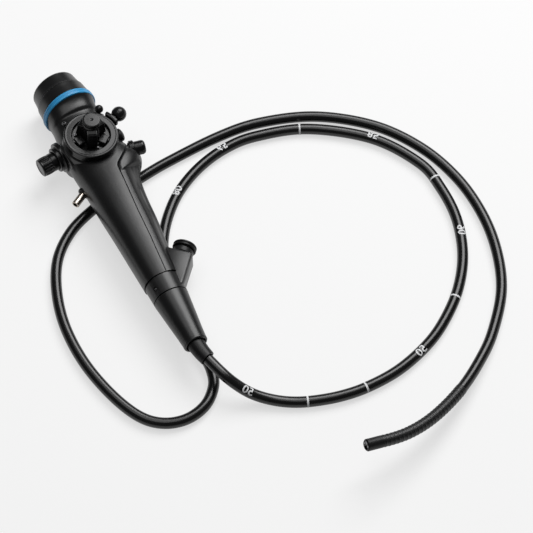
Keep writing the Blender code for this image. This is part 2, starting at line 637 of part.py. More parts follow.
def make_port():
    """Neck and slit rubber cap of the biopsy port, and the channel behind it."""
    bottom = PORT_FACE + GAP
    neck_top = bottom + PORT_NECK_LENGTH
    neck = [
        (PORT_BORE, neck_top), (PORT_NECK_RADIUS - 0.5 * MM, neck_top),
        (PORT_NECK_RADIUS - 0.5 * MM, neck_top - 1.4 * MM), (PORT_NECK_RADIUS, neck_top - 1.6 * MM),
        (PORT_NECK_RADIUS, bottom), (PORT_BORE, bottom),
    ]
    turned("port_neck", neck, PORT, "soft_black", 28, closed=True)
    low = neck_top - 1.1 * MM
    high = low + PORT_CAP_LENGTH
    lip = PORT_NECK_RADIUS - 0.2 * MM
    cap = [
        (1.0 * MM, high - 0.7 * MM), (2.2 * MM, high), (PORT_CAP_RADIUS - 0.5 * MM, high),
        (PORT_CAP_RADIUS, high - 0.4 * MM), (PORT_CAP_RADIUS, high - 1.0 * MM),
        (PORT_CAP_RADIUS - 0.35 * MM, high - 1.2 * MM), (PORT_CAP_RADIUS - 0.35 * MM, high - 1.5 * MM),
        (PORT_CAP_RADIUS, high - 1.7 * MM), (PORT_CAP_RADIUS, low + 0.3 * MM),
        (PORT_CAP_RADIUS - 0.3 * MM, low), (lip, low), (lip, neck_top + GAP),
        (1.0 * MM, neck_top + GAP),
    ]
    turned("port_cap", cap, PORT, "soft_black", 28, closed=True)
    aim = Vector((math.sin(PORT_ANGLE), math.cos(PORT_ANGLE), 0.0))
    cross = Vector((0.0, PORT_CROSS_Y, 0.0))
    run = [cross + aim * (PORT_FACE - 1.0 * MM), cross + aim * 7.0 * MM, cross + aim * 3.4 * MM,
           Vector((1.6 * MM, PORT_CROSS_Y - 1.0 * MM, -0.2 * MM)),
           Vector((1.6 * MM, -110.0 * MM, -0.2 * MM))]
    wire("channel_tube", run, 1.3 * MM, HANDLE, "soft_black", 2)


def star_outline():
    """Six blunt arms about a hub."""
    outline = []
    half_tip = 2.6 * MM
    half_root = 2.1 * MM
    for arm in range(STAR_ARMS):
        turn = Matrix.Rotation(2.0 * math.pi * arm / STAR_ARMS + STAR_TURN, 2)
        root = STAR_HUB_RADIUS * 0.9
        for x, y in ((root, -half_root), (STAR_RADIUS - 0.4 * MM, -half_tip),
                     (STAR_RADIUS, -half_tip * 0.6), (STAR_RADIUS, half_tip * 0.6),
                     (STAR_RADIUS - 0.4 * MM, half_tip), (root, half_root)):
            corner = turn @ Vector((x, y))
            outline.append((corner.x, corner.y))
    return outline


def make_knob():
    """Disc, star knob, cap, shaft, bush, drum and pull wires."""
    disc_low = BOSS_TOP + POST_HEIGHT + SEAT
    disc_high = disc_low + DISC_THICKNESS
    floor = disc_high - DISC_RECESS_DEPTH
    disc = [
        (BUSH_RADIUS + GAP, floor), (DISC_RECESS_RADIUS - 0.4 * MM, floor),
        (DISC_RECESS_RADIUS, disc_high), (DISC_RADIUS - 0.5 * MM, disc_high),
        (DISC_RADIUS, disc_high - 0.5 * MM), (DISC_RADIUS, disc_low + 0.5 * MM),
        (DISC_RADIUS - 0.6 * MM, disc_low), (BUSH_RADIUS + GAP, disc_low),
    ]
    made = turned("knob_disc", disc, KNOB, "black_plastic", 48, closed=True)
    for place in DISC_SCREWS:
        cut(made, rod(place.name + "_way", 0.95 * MM, -0.9 * MM, 6.0 * MM, place, steps=12))
    star_low = floor + 0.7 * MM
    star_high = star_low + STAR_HEIGHT
    star = prism("star_knob", star_outline(), star_low, star_high, KNOB, "soft_black")
    slope = [(STAR_RADIUS + 0.6 * MM, star_low + 2.7 * MM), (7.3 * MM, star_low + 3.3 * MM),
             (6.5 * MM, star_high - 2.9 * MM), (STAR_HUB_RADIUS - 0.2 * MM, star_high - 0.5 * MM)]
    trim = turned("star_trim_form", [(30.0 * MM, star_low + 2.7 * MM)] + slope + [
        (STAR_HUB_RADIUS - 0.2 * MM, star_high + 6.0 * MM), (30.0 * MM, star_high + 6.0 * MM)],
        KNOB, None, 36, closed=True)
    hub = rod("star_hub_form", STAR_HUB_RADIUS, star_low, star_high + 0.4 * MM, KNOB, steps=32)
    cut(star, trim)
    cut(star, hub, "UNION")
    cut(star, rod("star_bore_form", SHAFT_RADIUS + GAP, 0.0, 60.0 * MM, KNOB, steps=20))
    hub_top = star_high + 0.4 * MM
    cap_low = hub_top + SEAT
    shaft_top = cap_low + 1.0 * MM
    bore = SHAFT_RADIUS + GAP
    cap = [
        (0.0, cap_low + CAP_THICKNESS - 0.25 * MM), (0.5 * MM, cap_low + CAP_THICKNESS - 0.25 * MM),
        (0.9 * MM, cap_low + CAP_THICKNESS), (CAP_RADIUS - 0.4 * MM, cap_low + CAP_THICKNESS - 0.1 * MM),
        (CAP_RADIUS, cap_low + CAP_THICKNESS - 0.5 * MM), (CAP_RADIUS, cap_low + 0.5 * MM),
        (CAP_RADIUS - 0.5 * MM, cap_low), (bore, cap_low), (bore, shaft_top + GAP),
        (0.0, shaft_top + GAP),
    ]
    turned("knob_cap", cap, KNOB, "black_plastic", 36)
    rail_top = RAIL_LOW + RAIL_THICKNESS
    shaft_low = rail_top + 0.65 * MM
    rod("knob_shaft", SHAFT_RADIUS, shaft_low, shaft_top, KNOB, "steel", 20)
    ring("shaft_bush", SHAFT_RADIUS + 0.1 * MM, BUSH_RADIUS, 6.0 * MM, floor - 0.2 * MM, KNOB, "brass", 24)
    drum_low = -3.4 * MM
    drum_high = drum_low + DRUM_HEIGHT
    middle = (drum_low + drum_high) / 2.0
    drum = [
        (SHAFT_RADIUS + 0.1 * MM, drum_high), (DRUM_RADIUS, drum_high),
        (DRUM_RADIUS, middle + 1.0 * MM), (DRUM_RADIUS - 1.2 * MM, middle + 0.6 * MM),
        (DRUM_RADIUS - 1.2 * MM, middle - 0.6 * MM), (DRUM_RADIUS, middle - 1.0 * MM),
        (DRUM_RADIUS, drum_low), (SHAFT_RADIUS + 0.1 * MM, drum_low),
    ]
    turned("wire_drum", drum, KNOB, "brass", 28, closed=True)
    reach = DRUM_RADIUS + GAP + 0.35 * MM
    for name, side, deep in (("pull_wire_right", 1.0, 3.0), ("pull_wire_left", -1.0, -2.8)):
        run = [Vector((KNOB_X + side * reach, KNOB_Y, middle)),
               Vector((KNOB_X + side * reach * 0.9, -8.0 * MM, middle)),
               Vector((side * 2.4 * MM, -50.0 * MM, middle - 1.0 * MM)),
               Vector((side * 2.2 * MM, -74.0 * MM, -2.8 * MM)),
               Vector((side * 1.0 * MM, -90.0 * MM, -2.9 * MM)),
               Vector((side * 0.9 * MM, -110.0 * MM, -2.9 * MM))]
        wire(name, run, 0.35 * MM, HANDLE, "steel", 1)


def make_lever(name, angle, reach, rise, low, ball_name, ball_radius, neck, block):
    """Flat ring round the boss post with a cranked arm and a ball."""
    inner = BOSS_POST_RADIUS + GAP
    outer = BOSS_RADIUS
    arm_dir = Vector((math.cos(angle), math.sin(angle), 0.0))
    mid = low + LEVER_THICKNESS / 2.0
    body = ring(name, inner, outer, low, low + LEVER_THICKNESS, KNOB, "soft_black", 40)
    stem_radius = ball_radius * neck
    start = arm_dir * (outer - 0.4 * MM) + Vector((0.0, 0.0, mid))
    knee = arm_dir * (DISC_RADIUS + 0.9 * MM) + Vector((0.0, 0.0, mid))
    tip = arm_dir * reach + Vector((0.0, 0.0, rise))
    stop = tip + (knee - tip).normalized() * (ball_radius * 0.55)
    arm = bar_between(name + "_arm_form", start, knee + arm_dir * 0.5 * MM, stem_radius, LEVER_THICKNESS * 0.42)
    stem = bar_between(name + "_stem_form", knee - arm_dir * 0.2 * MM, stop, stem_radius, stem_radius)
    spread, depth, height = block
    near = DISC_RADIUS + 0.4 * MM
    outline = []
    for radius, shares in ((near, (-1.0, -0.5, 0.0, 0.5, 1.0)), (near + depth, (1.0, 0.5, 0.0, -0.5, -1.0))):
        for share in shares:
            outline.append((radius * math.cos(angle + spread * share), radius * math.sin(angle + spread * share)))
    root = prism(name + "_root_form", outline, low + 0.1 * MM, low + height, KNOB)
    bevel(root, min(0.7 * MM, height * 0.25), 2)
    cut(body, root, "UNION")
    cut(body, arm, "UNION")
    cut(body, stem, "UNION")
    place = add_empty(ball_name + "_place", KNOB, tip, (tip - knee))
    sphere = ball(ball_name, ball_radius, place, "soft_black")
    socket = rod(ball_name + "_socket_form", stem_radius + 1.3 * GAP, -3.0 * ball_radius,
                 -(ball_radius * 0.55) + GAP, place, steps=16)
    cut(sphere, socket)


def bar_between(name, start, end, half_width, half_height):
    """Eight-sided bar from one point to another."""
    along = end - start
    turn = along.to_track_quat("Z", "Y")
    rings = []
    for share in (0.0, 1.0):
        centre = start + along * share
        rings.append([centre + turn @ Vector((half_width * math.cos(a), half_height * math.sin(a), 0.0))
                      for a in [math.pi * (k + 0.5) / 6.0 for k in range(12)]])
    return loft(name, rings, KNOB, None)


def make_levers():
    """Brake lever under the disc and lock lever below it."""
    low = BOSS_TOP + POST_HEIGHT - LEVER_THICKNESS
    make_lever("brake_lever", BRAKE_ANGLE, BRAKE_REACH, BRAKE_BALL_RISE, low, "brake_ball",
               BRAKE_BALL_RADIUS, 0.5, (math.radians(15.0), 2.2 * MM, 4.6 * MM))
    low -= LEVER_THICKNESS + GAP
    make_lever("lock_lever", LOCK_ANGLE, LOCK_REACH, LOCK_BALL_RISE, low, "lock_ball",
               LOCK_BALL_RADIUS, 0.6, (math.radians(9.5), 2.6 * MM, 1.4 * MM))


def make_valve():
    """Suction valve: housing, ribbed knob, stem, guide; and the nipple beside it."""
    base = 0.7 * MM
    step = 3.2 * MM
    top = 5.4 * MM
    housing = [
        (VALVE_BORE, top), (VALVE_COLLAR_RADIUS - 0.5 * MM, top), (VALVE_COLLAR_RADIUS, top - 0.5 * MM),
        (VALVE_COLLAR_RADIUS, step), (VALVE_FLANGE_RADIUS - 0.5 * MM, step),
        (VALVE_FLANGE_RADIUS, step - 0.5 * MM), (VALVE_FLANGE_RADIUS, base), (VALVE_BORE, base),
    ]
    turned("valve_housing", housing, VALVE, "black_plastic", 32, closed=True)
    inner_end = 2.0 * MM
    knob = [
        (0.0, VALVE_KNOB_END), (VALVE_KNOB_RADIUS - 0.9 * MM, VALVE_KNOB_END),
        (VALVE_KNOB_RADIUS, VALVE_KNOB_END - 0.7 * MM), (VALVE_KNOB_RADIUS, inner_end),
        (VALVE_STEM_RADIUS + GAP, inner_end), (VALVE_STEM_RADIUS + GAP, inner_end + 3.0 * MM),
        (0.0, inner_end + 3.0 * MM),
    ]
    turned("valve_knob", knob, VALVE, "soft_black", 32)
    rod("valve_stem", VALVE_STEM_RADIUS, -3.6 * MM, inner_end + 2.7 * MM, VALVE, "steel", 16)
    ring("valve_guide", VALVE_STEM_RADIUS + 0.1 * MM, VALVE_BORE - 0.1 * MM, -3.4 * MM, -2.2 * MM,
         VALVE, "brass", 24)
    collar = [
        (NIPPLE_RADIUS + GAP, 3.1 * MM), (NIPPLE_COLLAR_RADIUS - 0.6 * MM, 3.1 * MM),
        (NIPPLE_COLLAR_RADIUS, 2.4 * MM), (NIPPLE_COLLAR_RADIUS, -3.0 * MM),
        (NIPPLE_RADIUS + GAP, -3.0 * MM),
    ]
    turned("nipple_collar", collar, NIPPLE, "soft_black", 20, closed=True)
    pipe = [
        (NIPPLE_BORE, NIPPLE_END), (NIPPLE_RADIUS - 0.25 * MM, NIPPLE_END),
        (NIPPLE_RADIUS, NIPPLE_END - 0.25 * MM), (NIPPLE_RADIUS, -2.6 * MM), (NIPPLE_BORE, -2.6 * MM),
    ]
    turned("suction_nipple", pipe, NIPPLE, "steel", 24, closed=True)


def make_buttons():
    """Remote button in its collar, and the dome button."""
    collar = [
        (BUTTON_RADIUS + GAP, 0.9 * MM), (BUTTON_COLLAR_RADIUS - 0.4 * MM, 0.9 * MM),
        (BUTTON_COLLAR_RADIUS, 0.5 * MM), (BUTTON_COLLAR_RADIUS, -1.6 * MM),
        (BUTTON_RADIUS + GAP, -1.6 * MM),
    ]
    turned("button_collar", collar, BUTTON, "black_plastic", 24, closed=True)
    cap = [
        (0.0, BUTTON_END), (BUTTON_RADIUS - 1.4 * MM, BUTTON_END - 0.15 * MM),
        (BUTTON_RADIUS - 0.3 * MM, BUTTON_END - 0.9 * MM), (BUTTON_RADIUS, BUTTON_END - 1.8 * MM),
        (BUTTON_RADIUS, -2.3 * MM), (0.0, -2.3 * MM),
    ]
    turned("remote_button", cap, BUTTON, "soft_black", 28)
    dome = [(0.0, DOME_RISE)]
    for i in range(1, 5):
        angle = math.radians(90.0 - 20.0 * i)
        dome.append((DOME_RADIUS * math.cos(angle), 0.6 * MM + (DOME_RISE - 0.6 * MM) * math.sin(angle)))
    dome += [(DOME_RADIUS, 0.4 * MM), (DOME_RADIUS, -1.9 * MM), (0.0, -1.9 * MM)]
    turned("dome_button", dome, DOME, "soft_black", 24)


def make_screw(place, radius, height):
    profile = [(0.0, height - 0.35 * MM), (radius * 0.45, height - 0.35 * MM), (radius * 0.5, height),
               (radius - 0.15 * MM, height), (radius, height - 0.2 * MM), (radius, -0.6 * MM),
               (0.0, -0.6 * MM)]
    turned(place.name.replace("_place", ""), profile, place, "steel", 12)


def make_screws():
    make_screw(NECK_SCREW, 1.15 * MM, 0.5 * MM)
    make_screw(COLLAR_SCREW, 0.7 * MM, 0.3 * MM)
    for place in DISC_SCREWS:
        make_screw(place, 0.65 * MM, 0.35 * MM)
    for place in COVER_SCREWS:
        make_screw(place, 1.6 * MM, 0.3 * MM)


def tube_path():
    """Smooth centre line from inside the nose cone to the distal end, in metres."""
    inside = [Vector((HANDLE_X, HANDLE_Y + TUBE_START_Y, BAND_RADIUS)),
              Vector((HANDLE_X, HANDLE_Y - 126.0 * MM, BAND_RADIUS)),
              Vector((HANDLE_X + 0.6 * MM, HANDLE_Y - 134.5 * MM, BAND_RADIUS))]
    points = inside + [Vector(p) * MM + Vector((HANDLE_X, HANDLE_Y, 0.0)) for p in ROUTE]
    return smooth_path(points, 10)


def tube_points():
    """Points of the tube: close together in the boot, then evenly spaced to the bending section."""
    path = tube_path()
    total = lengths_along(path)
    bend_start = total[-1] - TIP_LENGTH - LINKS * LINK_PITCH
    boot_start = abs(CONE_FOOT_Y + BOOT_INSERT - TUBE_START_Y)
    places = [0.0] + [boot_start + BOOT_LENGTH * i / BOOT_STEPS for i in range(BOOT_STEPS + 1)]
    last = bend_start - GAP / 2.0
    rest = TUBE_POINTS - len(places)
    weight = [0.0]
    for i in range(1, len(path)):
        before = path[max(i - 8, 0)]
        after = path[min(i + 8, len(path) - 1)]
        bend = (path[i] - before).angle(after - path[i], 0.0) / max((after - before).length * 0.5, MM)
        inside = places[-1] < total[i] < last
        weight.append(weight[-1] + ((total[i] - total[i - 1]) * (1.0 + 17.0 * MM * bend) if inside else 0.0))
    for k in range(1, rest):
        wanted = weight[-1] * k / rest
        i = next(j for j in range(1, len(weight)) if weight[j] >= wanted)
        share = (wanted - weight[i - 1]) / (weight[i] - weight[i - 1])
        places.append(total[i - 1] + (total[i] - total[i - 1]) * share)
    places.append(last)
    return [point_at(path, total, place) for place in places], total, bend_start, path


def make_tube():
    """Insertion tube up to the first joint of the bending section."""
    points, total, bend_start, path = tube_points()
    wire("insertion_tube", points, TUBE_RADIUS, None, "tube_skin", 2)
    return path, total, bend_start


def make_bending_section(path, total, bend_start):
    """Links with coned ends, each turning about an upright axis at its lower end."""
    joints = [point_at(path, total, bend_start + i * LINK_PITCH) for i in range(LINKS + 1)]
    half = GAP / 2.0
    for i in range(LINKS):
        along = joints[i + 1] - joints[i]
        place = add_empty("link_%d_place" % (i + 1), None, joints[i], along)
        length = along.length
        lower = FIRST_LINK_SLOPE if i == 0 else LINK_SLOPE
        last = i == LINKS - 1
        upper = 0.0 if last else LINK_SLOPE
        profile = [
            (0.0, length - half), (LINK_RADIUS - 0.3 * MM, length - half - upper * (LINK_RADIUS - 0.3 * MM)),
            (LINK_RADIUS, length - half - upper * LINK_RADIUS - 0.2 * MM),
            (LINK_RADIUS, half + lower * LINK_RADIUS + 0.2 * MM),
            (LINK_RADIUS - 0.3 * MM, half + lower * (LINK_RADIUS - 0.3 * MM)), (0.0, half),
        ]
        turned("bending_link_%d" % (i + 1), profile, place, "soft_black", 20)
    place = add_empty("tip_place", None, joints[-1], joints[-1] - joints[-2])
    make_tip(place, TIP_LENGTH)


def make_tip(place, length):
    """Distal tip with its working channel, lens and two light guides."""
    face = length
    tip = [
        (0.0, face), (TIP_RADIUS - 0.6 * MM, face), (TIP_RADIUS, face - 0.6 * MM),
        (TIP_RADIUS, half_seat()), (0.0, half_seat()),
    ]
    made = turned("distal_tip", tip, place, "soft_black", 28)
    spots = (("working_channel_form", CHANNEL_RADIUS, (-0.9, -0.9), 6.0, None),
             ("distal_lens", 0.85 * MM, (1.35, 0.55), 1.6, "glass"),
             ("light_guide_upper", 0.55 * MM, (-0.3, 1.75), 1.6, "glass"),
             ("light_guide_lower", 0.55 * MM, (1.0, -1.5), 1.6, "glass"))
    for name, radius, (x, y), depth, finish in spots:
        spot = add_empty(name + "_place", place, (x * MM, y * MM, face))
        room = radius if finish is None else radius + 0.12 * MM
        cut(made, rod(name + "_room", room, -depth * MM, 2.0 * MM, spot, steps=14))
        if finish is not None:
            rod(name, radius, -(depth - 0.2) * MM, -0.1 * MM, spot, finish, 14)


def half_seat():
    return GAP / 2.0


clear_scene()
PARTS = make_collection("flexible_endoscope")
CUTTERS = make_collection("cutters")
HANDLE = add_empty("handle", None, (HANDLE_X, HANDLE_Y, BAND_RADIUS))
OPTICS = add_empty("optical_axis", HANDLE, (0.0, 0.0, 0.0), (0.0, 1.0, 0.0))
HEAD_BASE = add_empty("head_base", HANDLE, (HEAD_CROSS[0], HEAD_CROSS[1], 0.0))
HEAD_BASE.rotation_quaternion = Quaternion((0.0, 0.0, 1.0), HEAD_TURN)
HEAD = add_empty("head_axis", HEAD_BASE, (0.0, 0.0, 0.0), (0.0, 1.0, 0.0))
KNOB = add_empty("knob_axis", HANDLE, (KNOB_X, KNOB_Y, 0.0),
                 (math.sin(KNOB_LEAN_RIGHT), -math.sin(KNOB_LEAN_BACK), 1.0))
PORT = add_empty("port_axis", HANDLE, (0.0, PORT_CROSS_Y, 0.0),
                 (math.sin(PORT_ANGLE), math.cos(PORT_ANGLE), 0.0))
VALVE = add_empty("valve_axis", HANDLE, VALVE_BASE, VALVE_AIM)
NIPPLE = add_empty("nipple_axis", HANDLE, NIPPLE_BASE, NIPPLE_AIM)
BUTTON = add_empty("button_axis", HANDLE, BUTTON_BASE, BUTTON_AIM)
DOME = add_empty("dome_axis", HANDLE, DOME_BASE, DOME_AIM)
NECK_SCREW = add_empty("neck_screw_place", HANDLE, (-7.6 * MM, 19.2 * MM, 9.5 * MM), (-0.35, 0.0, 1.0))
COLLAR_SCREW = add_empty("collar_screw_place", HANDLE, (-6.3 * MM, -94.6 * MM, 6.6 * MM), (-0.69, 0.0, 0.72))
COVER_SCREWS = [
    add_empty("cover_screw_upper_place", HANDLE, (11.7 * MM, -28.0 * MM, -7.7 * MM), (0.45, 0.0, -1.0)),
    add_empty("cover_screw_lower_place", HANDLE, (9.75 * MM, -66.0 * MM, -6.75 * MM), (0.5, 0.0, -1.0)),
]
STAR_TURN = math.radians(-115.9)
SCREW_CIRCLE = 8.3 * MM
DISC_SCREWS = []
for number in range(3):
    spot_angle = STAR_TURN + math.radians(30.0 + 120.0 * number)
    DISC_SCREWS.append(add_empty("disc_screw_%d_place" % (number + 1), KNOB, (
        SCREW_CIRCLE * math.cos(spot_angle), SCREW_CIRCLE * math.sin(spot_angle),
        BOSS_TOP + POST_HEIGHT + SEAT + DISC_THICKNESS - DISC_RECESS_DEPTH)))

make_head()
make_body()
make_lower_handle()
make_port()
make_knob()
make_levers()
make_valve()
make_buttons()
make_screws()
make_bending_section(*make_tube())
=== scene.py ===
"""Looks of the flexible endoscope: smooth pieces over the CAD frame, the insertion tube
with its printed marks, the ribbed bending section, materials, camera, lamps and floor.

Metres in the row frame. Sizes of the handle are typed in mm from its own origin, the point
where the star knob's axis crosses the grip's axis.
"""
import json
import math

import bmesh
import bpy
from bpy.props import FloatProperty, FloatVectorProperty, IntProperty, PointerProperty
from mathutils import Matrix, Vector


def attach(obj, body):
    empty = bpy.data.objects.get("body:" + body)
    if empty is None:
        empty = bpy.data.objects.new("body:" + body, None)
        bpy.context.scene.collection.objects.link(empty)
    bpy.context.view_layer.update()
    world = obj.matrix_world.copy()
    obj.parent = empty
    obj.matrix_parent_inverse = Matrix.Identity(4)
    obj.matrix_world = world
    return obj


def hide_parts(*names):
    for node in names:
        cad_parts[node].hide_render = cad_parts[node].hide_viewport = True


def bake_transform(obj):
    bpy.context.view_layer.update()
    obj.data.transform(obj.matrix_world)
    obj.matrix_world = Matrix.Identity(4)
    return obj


bl_info = {
    "name": "Flexible endoscope",
    "version": (1, 0, 0),
    "blender": (4, 5, 0),
    "location": "View3D > Sidebar > Endoscope",
    "description": "Builds the looks of a flexible endoscope over its CAD frame",
    "category": "Object",
}

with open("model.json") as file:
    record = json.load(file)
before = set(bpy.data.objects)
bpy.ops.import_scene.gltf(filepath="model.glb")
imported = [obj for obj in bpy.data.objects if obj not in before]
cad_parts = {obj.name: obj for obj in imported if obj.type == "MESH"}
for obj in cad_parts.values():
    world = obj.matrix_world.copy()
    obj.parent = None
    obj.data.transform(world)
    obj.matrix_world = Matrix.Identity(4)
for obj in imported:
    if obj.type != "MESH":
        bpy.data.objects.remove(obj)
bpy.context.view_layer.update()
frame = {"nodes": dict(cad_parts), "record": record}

MM = 0.001
UP = Vector((0.0, 0.0, 1.0))
HANDLE_PLACE = Vector((1.15, 44.71, 15.25)) * MM

# Centre of the tube after the boot: x and y from the handle's origin, height above the floor, mm
TUBE_ROUTE = [
    (5.0, -149.2, 13.6), (9.6, -156.8, 10.0), (15.2, -162.8, 6.4), (22.6, -168.4, 3.9),
    (31.2, -173.6, 2.9), (41.0, -177.8, 2.9), (55.0, -181.4, 2.9), (70.0, -182.6, 2.9),
    (88.6, -180.6, 2.9), (107.4, -174.2, 2.9), (122.4, -165.3, 2.9), (138.0, -151.4, 2.9),
    (150.6, -133.4, 2.9), (158.4, -112.0, 2.9), (160.2, -91.0, 2.9), (157.6, -72.0, 2.9),
    (142.2, -46.6, 2.9), (114.2, -26.0, 2.9), (86.8, -18.2, 2.9), (68.9, -18.2, 2.9),
    (51.2, -23.3, 2.9), (35.2, -32.6, 2.9), (22.6, -45.0, 2.9), (13.6, -58.6, 2.9),
    (8.4, -73.0, 2.9), (5.8, -90.0, 2.9), (4.6, -112.0, 2.9), (3.8, -130.0, 2.9),
    (3.4, -139.5, 2.9), (0.4, -148.5, 2.9), (-8.0, -156.7, 2.9), (-19.7, -159.8, 2.9),
    (-31.4, -156.7, 2.9), (-40.6, -147.6, 2.9), (-47.9, -130.0, 2.9), (-52.6, -107.2, 2.9),
    (-52.8, -83.6, 2.9), (-48.3, -62.4, 2.9), (-40.1, -44.6, 2.9), (-27.6, -32.0, 2.9),
    (-12.8, -24.4, 2.9), (3.4, -19.6, 2.9), (20.3, -16.0, 2.9), (37.3, -12.9, 2.9),
    (68.8, -9.6, 2.9), (93.0, -11.0, 2.9), (121.7, -20.4, 2.9), (147.2, -39.6, 2.9),
    (163.1, -63.5, 2.9), (170.9, -89.0, 2.9), (172.0, -114.6, 2.9), (167.7, -138.6, 2.9),
    (158.1, -161.4, 2.9), (141.6, -182.0, 3.4), (126.6, -195.2, 5.6), (109.0, -207.4, 9.2),
    (89.5, -217.0, 13.6), (72.6, -221.8, 17.8), (57.6, -222.4, 21.6), (47.9, -220.4, 24.0),
]
LINKS = 8
LINK_PITCH = 7.0 * MM
TIP_LENGTH = 9.0 * MM
BOOT_END = 27.4 * MM

# Printed marks of the tube: distance from the boot's end in mm, and what is printed there
PRINTED_NUMBERS = [(26.0, "50"), (123.0, "50"), (202.0, "90"), (281.0, "85"), (365.0, "65"), (402.0, "80")]
PRINTED_RINGS = [57.5, 88.0, 161.0, 238.5, 321.0]
# Lean of the numbers from the tube's top in degrees, font size for a digit's height, how far the
# strokes are thickened and lifted off the sheath, and their longest edge before it is cut, in metres
TEXT_LEAN = 18.0
FONT_PER_DIGIT = 1.38
STROKE_GROWTH = 0.00010
PRINT_LIFT = 0.00003
STROKE_EDGE = 0.0007

# Along the tube, in mm: step of its skin, how far the skin reaches into the boot and the cover over
# the tube, the cover's step at its start, and how far a bend spreads to either side of a joint
SKIN_STEP = 1.7
SKIN_OVERLAP = 0.5
COVER_OVERLAP = 1.6
COVER_BEAD = 0.05
BLEND_REACH = 2.6

# Control body: y, half widths left, right, up and down, in mm from the handle's origin
BODY_ROWS = [
    (30.6, 14.2, 14.2, 14.2, 14.2), (29.4, 14.0, 14.0, 13.2, 14.0), (27.3, 13.7, 13.7, 12.2, 13.5),
    (25.0, 13.55, 13.6, 11.55, 12.8), (24.1, 13.5, 13.5, 11.2, 12.5), (22.8, 13.5, 13.5, 10.1, 12.2),
    (22.1, 13.5, 13.5, 9.95, 12.0), (19.5, 13.6, 13.8, 10.0, 11.3), (16.5, 13.8, 14.3, 10.2, 10.6),
    (7.4, 14.7, 16.4, 11.2, 9.4), (-1.8, 14.9, 17.6, 11.8, 9.1), (-7.9, 14.7, 20.7, 11.8, 9.1),
    (-12.6, 14.4, 22.3, 11.8, 9.1), (-16.8, 14.1, 20.8, 11.9, 9.1), (-21.6, 13.7, 17.6, 12.0, 9.1),
    (-29.2, 13.3, 15.6, 12.1, 9.1), (-39.8, 12.8, 14.3, 12.0, 9.1), (-53.5, 11.9, 13.4, 11.5, 9.1),
    (-71.4, 11.0, 11.6, 10.8, 9.1), (-88.8, 10.1, 10.1, 10.1, 9.1),
]
SHELL_TOP = 30.5
SHELL_FOOT = -88.75
SHELL_WALL = 1.6
SHELL_ROWS = 290
SHELL_POINTS = 150
COVER_ROWS = 230
COVER_POINTS = 70
# Rounding of the walls' edges along the parting line: insets in mm and an angle in radians
EDGE_INSET = 0.22
BLUNT_INSET = 0.05
LIP_INSET = 0.06
LIP_ANGLE = 0.007
# Where the shell is whole, the angle that stands for no gap; the cover starts above this angle
WHOLE_ANGLE = 0.0006
COVER_START_ANGLE = 0.03
# Power of the sections' superellipse, and turn of the eyepiece against the grip in degrees, which
# the neck takes up from its start to the shell's top while it shifts sideways
SQUARENESS = 2.35
HEAD_TURN = 6.0
NECK_START = 16.0
NECK_SHIFT = 0.7
# Parting line between the shell and the side cover, seen from above: x and y in mm; then half the
# gap between them, and an x beyond the body's side that stands for no line above the cover
COVER_SEAM = [
    (19.6, -3.4), (18.6, -4.8), (16.9, -7.2), (14.0, -10.6), (7.4, -17.3), (6.5, -19.0), (6.3, -22.0),
    (6.2, -26.5), (4.6, -49.5), (4.0, -65.2), (3.2, -77.3), (2.4, -88.9),
]
SEAM_HALF_GAP = 0.10
SEAM_ABSENT = 60.0
# The cover's raised panel, in mm: its height, its margin from the seam, a point of its lower edge
# and that edge's slope; then the facet below it: its top, depth and slope, and the crease it starts
# at; the relief lies above the floor in z and below the top in y
PANEL_HEIGHT = 0.55
PANEL_MARGIN = 0.9
PANEL_EDGE = (9.3, -22.0)
PANEL_SLOPE = 0.37
FACET_TOP = -14.0
FACET_DEPTH = 0.9
FACET_SLOPE = 0.20
CREASE_PLACE = 9.0
CREASE_LEAN = 0.042
RELIEF_FLOOR = 3.0
RELIEF_TOP = -3.0
# How far the valve's boss lies from the valve's axis towards the boot, in mm
BOSS_DROP = 4.1

# Turn of the first tall fin about the knob's axis, in degrees
STAR_START = -107.9
# Fins and lobes of the star from below: height, reach and half width in mm; then where they start
TALL_FIN = [(16.15, 7.7, 2.75), (24.7, 6.5, 2.6), (25.3, 6.1, 2.2), (26.0, 4.3, 1.9)]
LOW_LOBE = [(16.15, 9.45, 2.75), (17.1, 9.45, 2.7), (17.5, 9.15, 2.4)]
TALL_START = 1.5
LOW_START = 5.2

# Stage, in metres: half side and drop of the floor, and how bright the floor and the world glow
FLOOR_SIZE = 4.0
FLOOR_DROP = 0.00005
FLOOR_GLOW = 0.62
WORLD_GLOW = 0.10
LAMP_TARGET = Vector((0.04, -0.04, 0.0))
KEY_PLACE = (0.70, 0.44, 1.06)
KEY_SIZE = 0.95
OVERHEAD_PLACE = (-0.05, 0.10, 1.35)
OVERHEAD_SIZE = 1.1
CAMERA_PLACE = (-0.23868, -0.66038, 1.04581)
CAMERA_TURN = (33.0, 0.0, -25.858)


class HandleSettings(bpy.types.PropertyGroup):
    """Finish of the handle."""
    plastic_colour: FloatVectorProperty(
        name="Plastic colour", description="Colour of the moulded black plastic",
        subtype="COLOR", size=4, min=0.0, max=1.0, default=(0.0042, 0.0043, 0.0046, 1.0))
    plastic_roughness: FloatProperty(
        name="Plastic roughness", description="How dull the moulded plastic is",
        subtype="FACTOR", min=0.0, max=1.0, default=0.33)
    band_colour: FloatVectorProperty(
        name="Band colour", description="Colour of the band below the focus ring",
        subtype="COLOR", size=4, min=0.0, max=1.0, default=(0.035, 0.30, 0.60, 1.0))
    edge_scale: FloatProperty(
        name="Edge scale", description="Factor on the rounding of every moulded and turned edge",
        subtype="FACTOR", min=0.0, max=2.0, default=1.0)
    steps_round: IntProperty(
        name="Steps round", description="Facets round each turned piece", min=24, max=128, default=72)


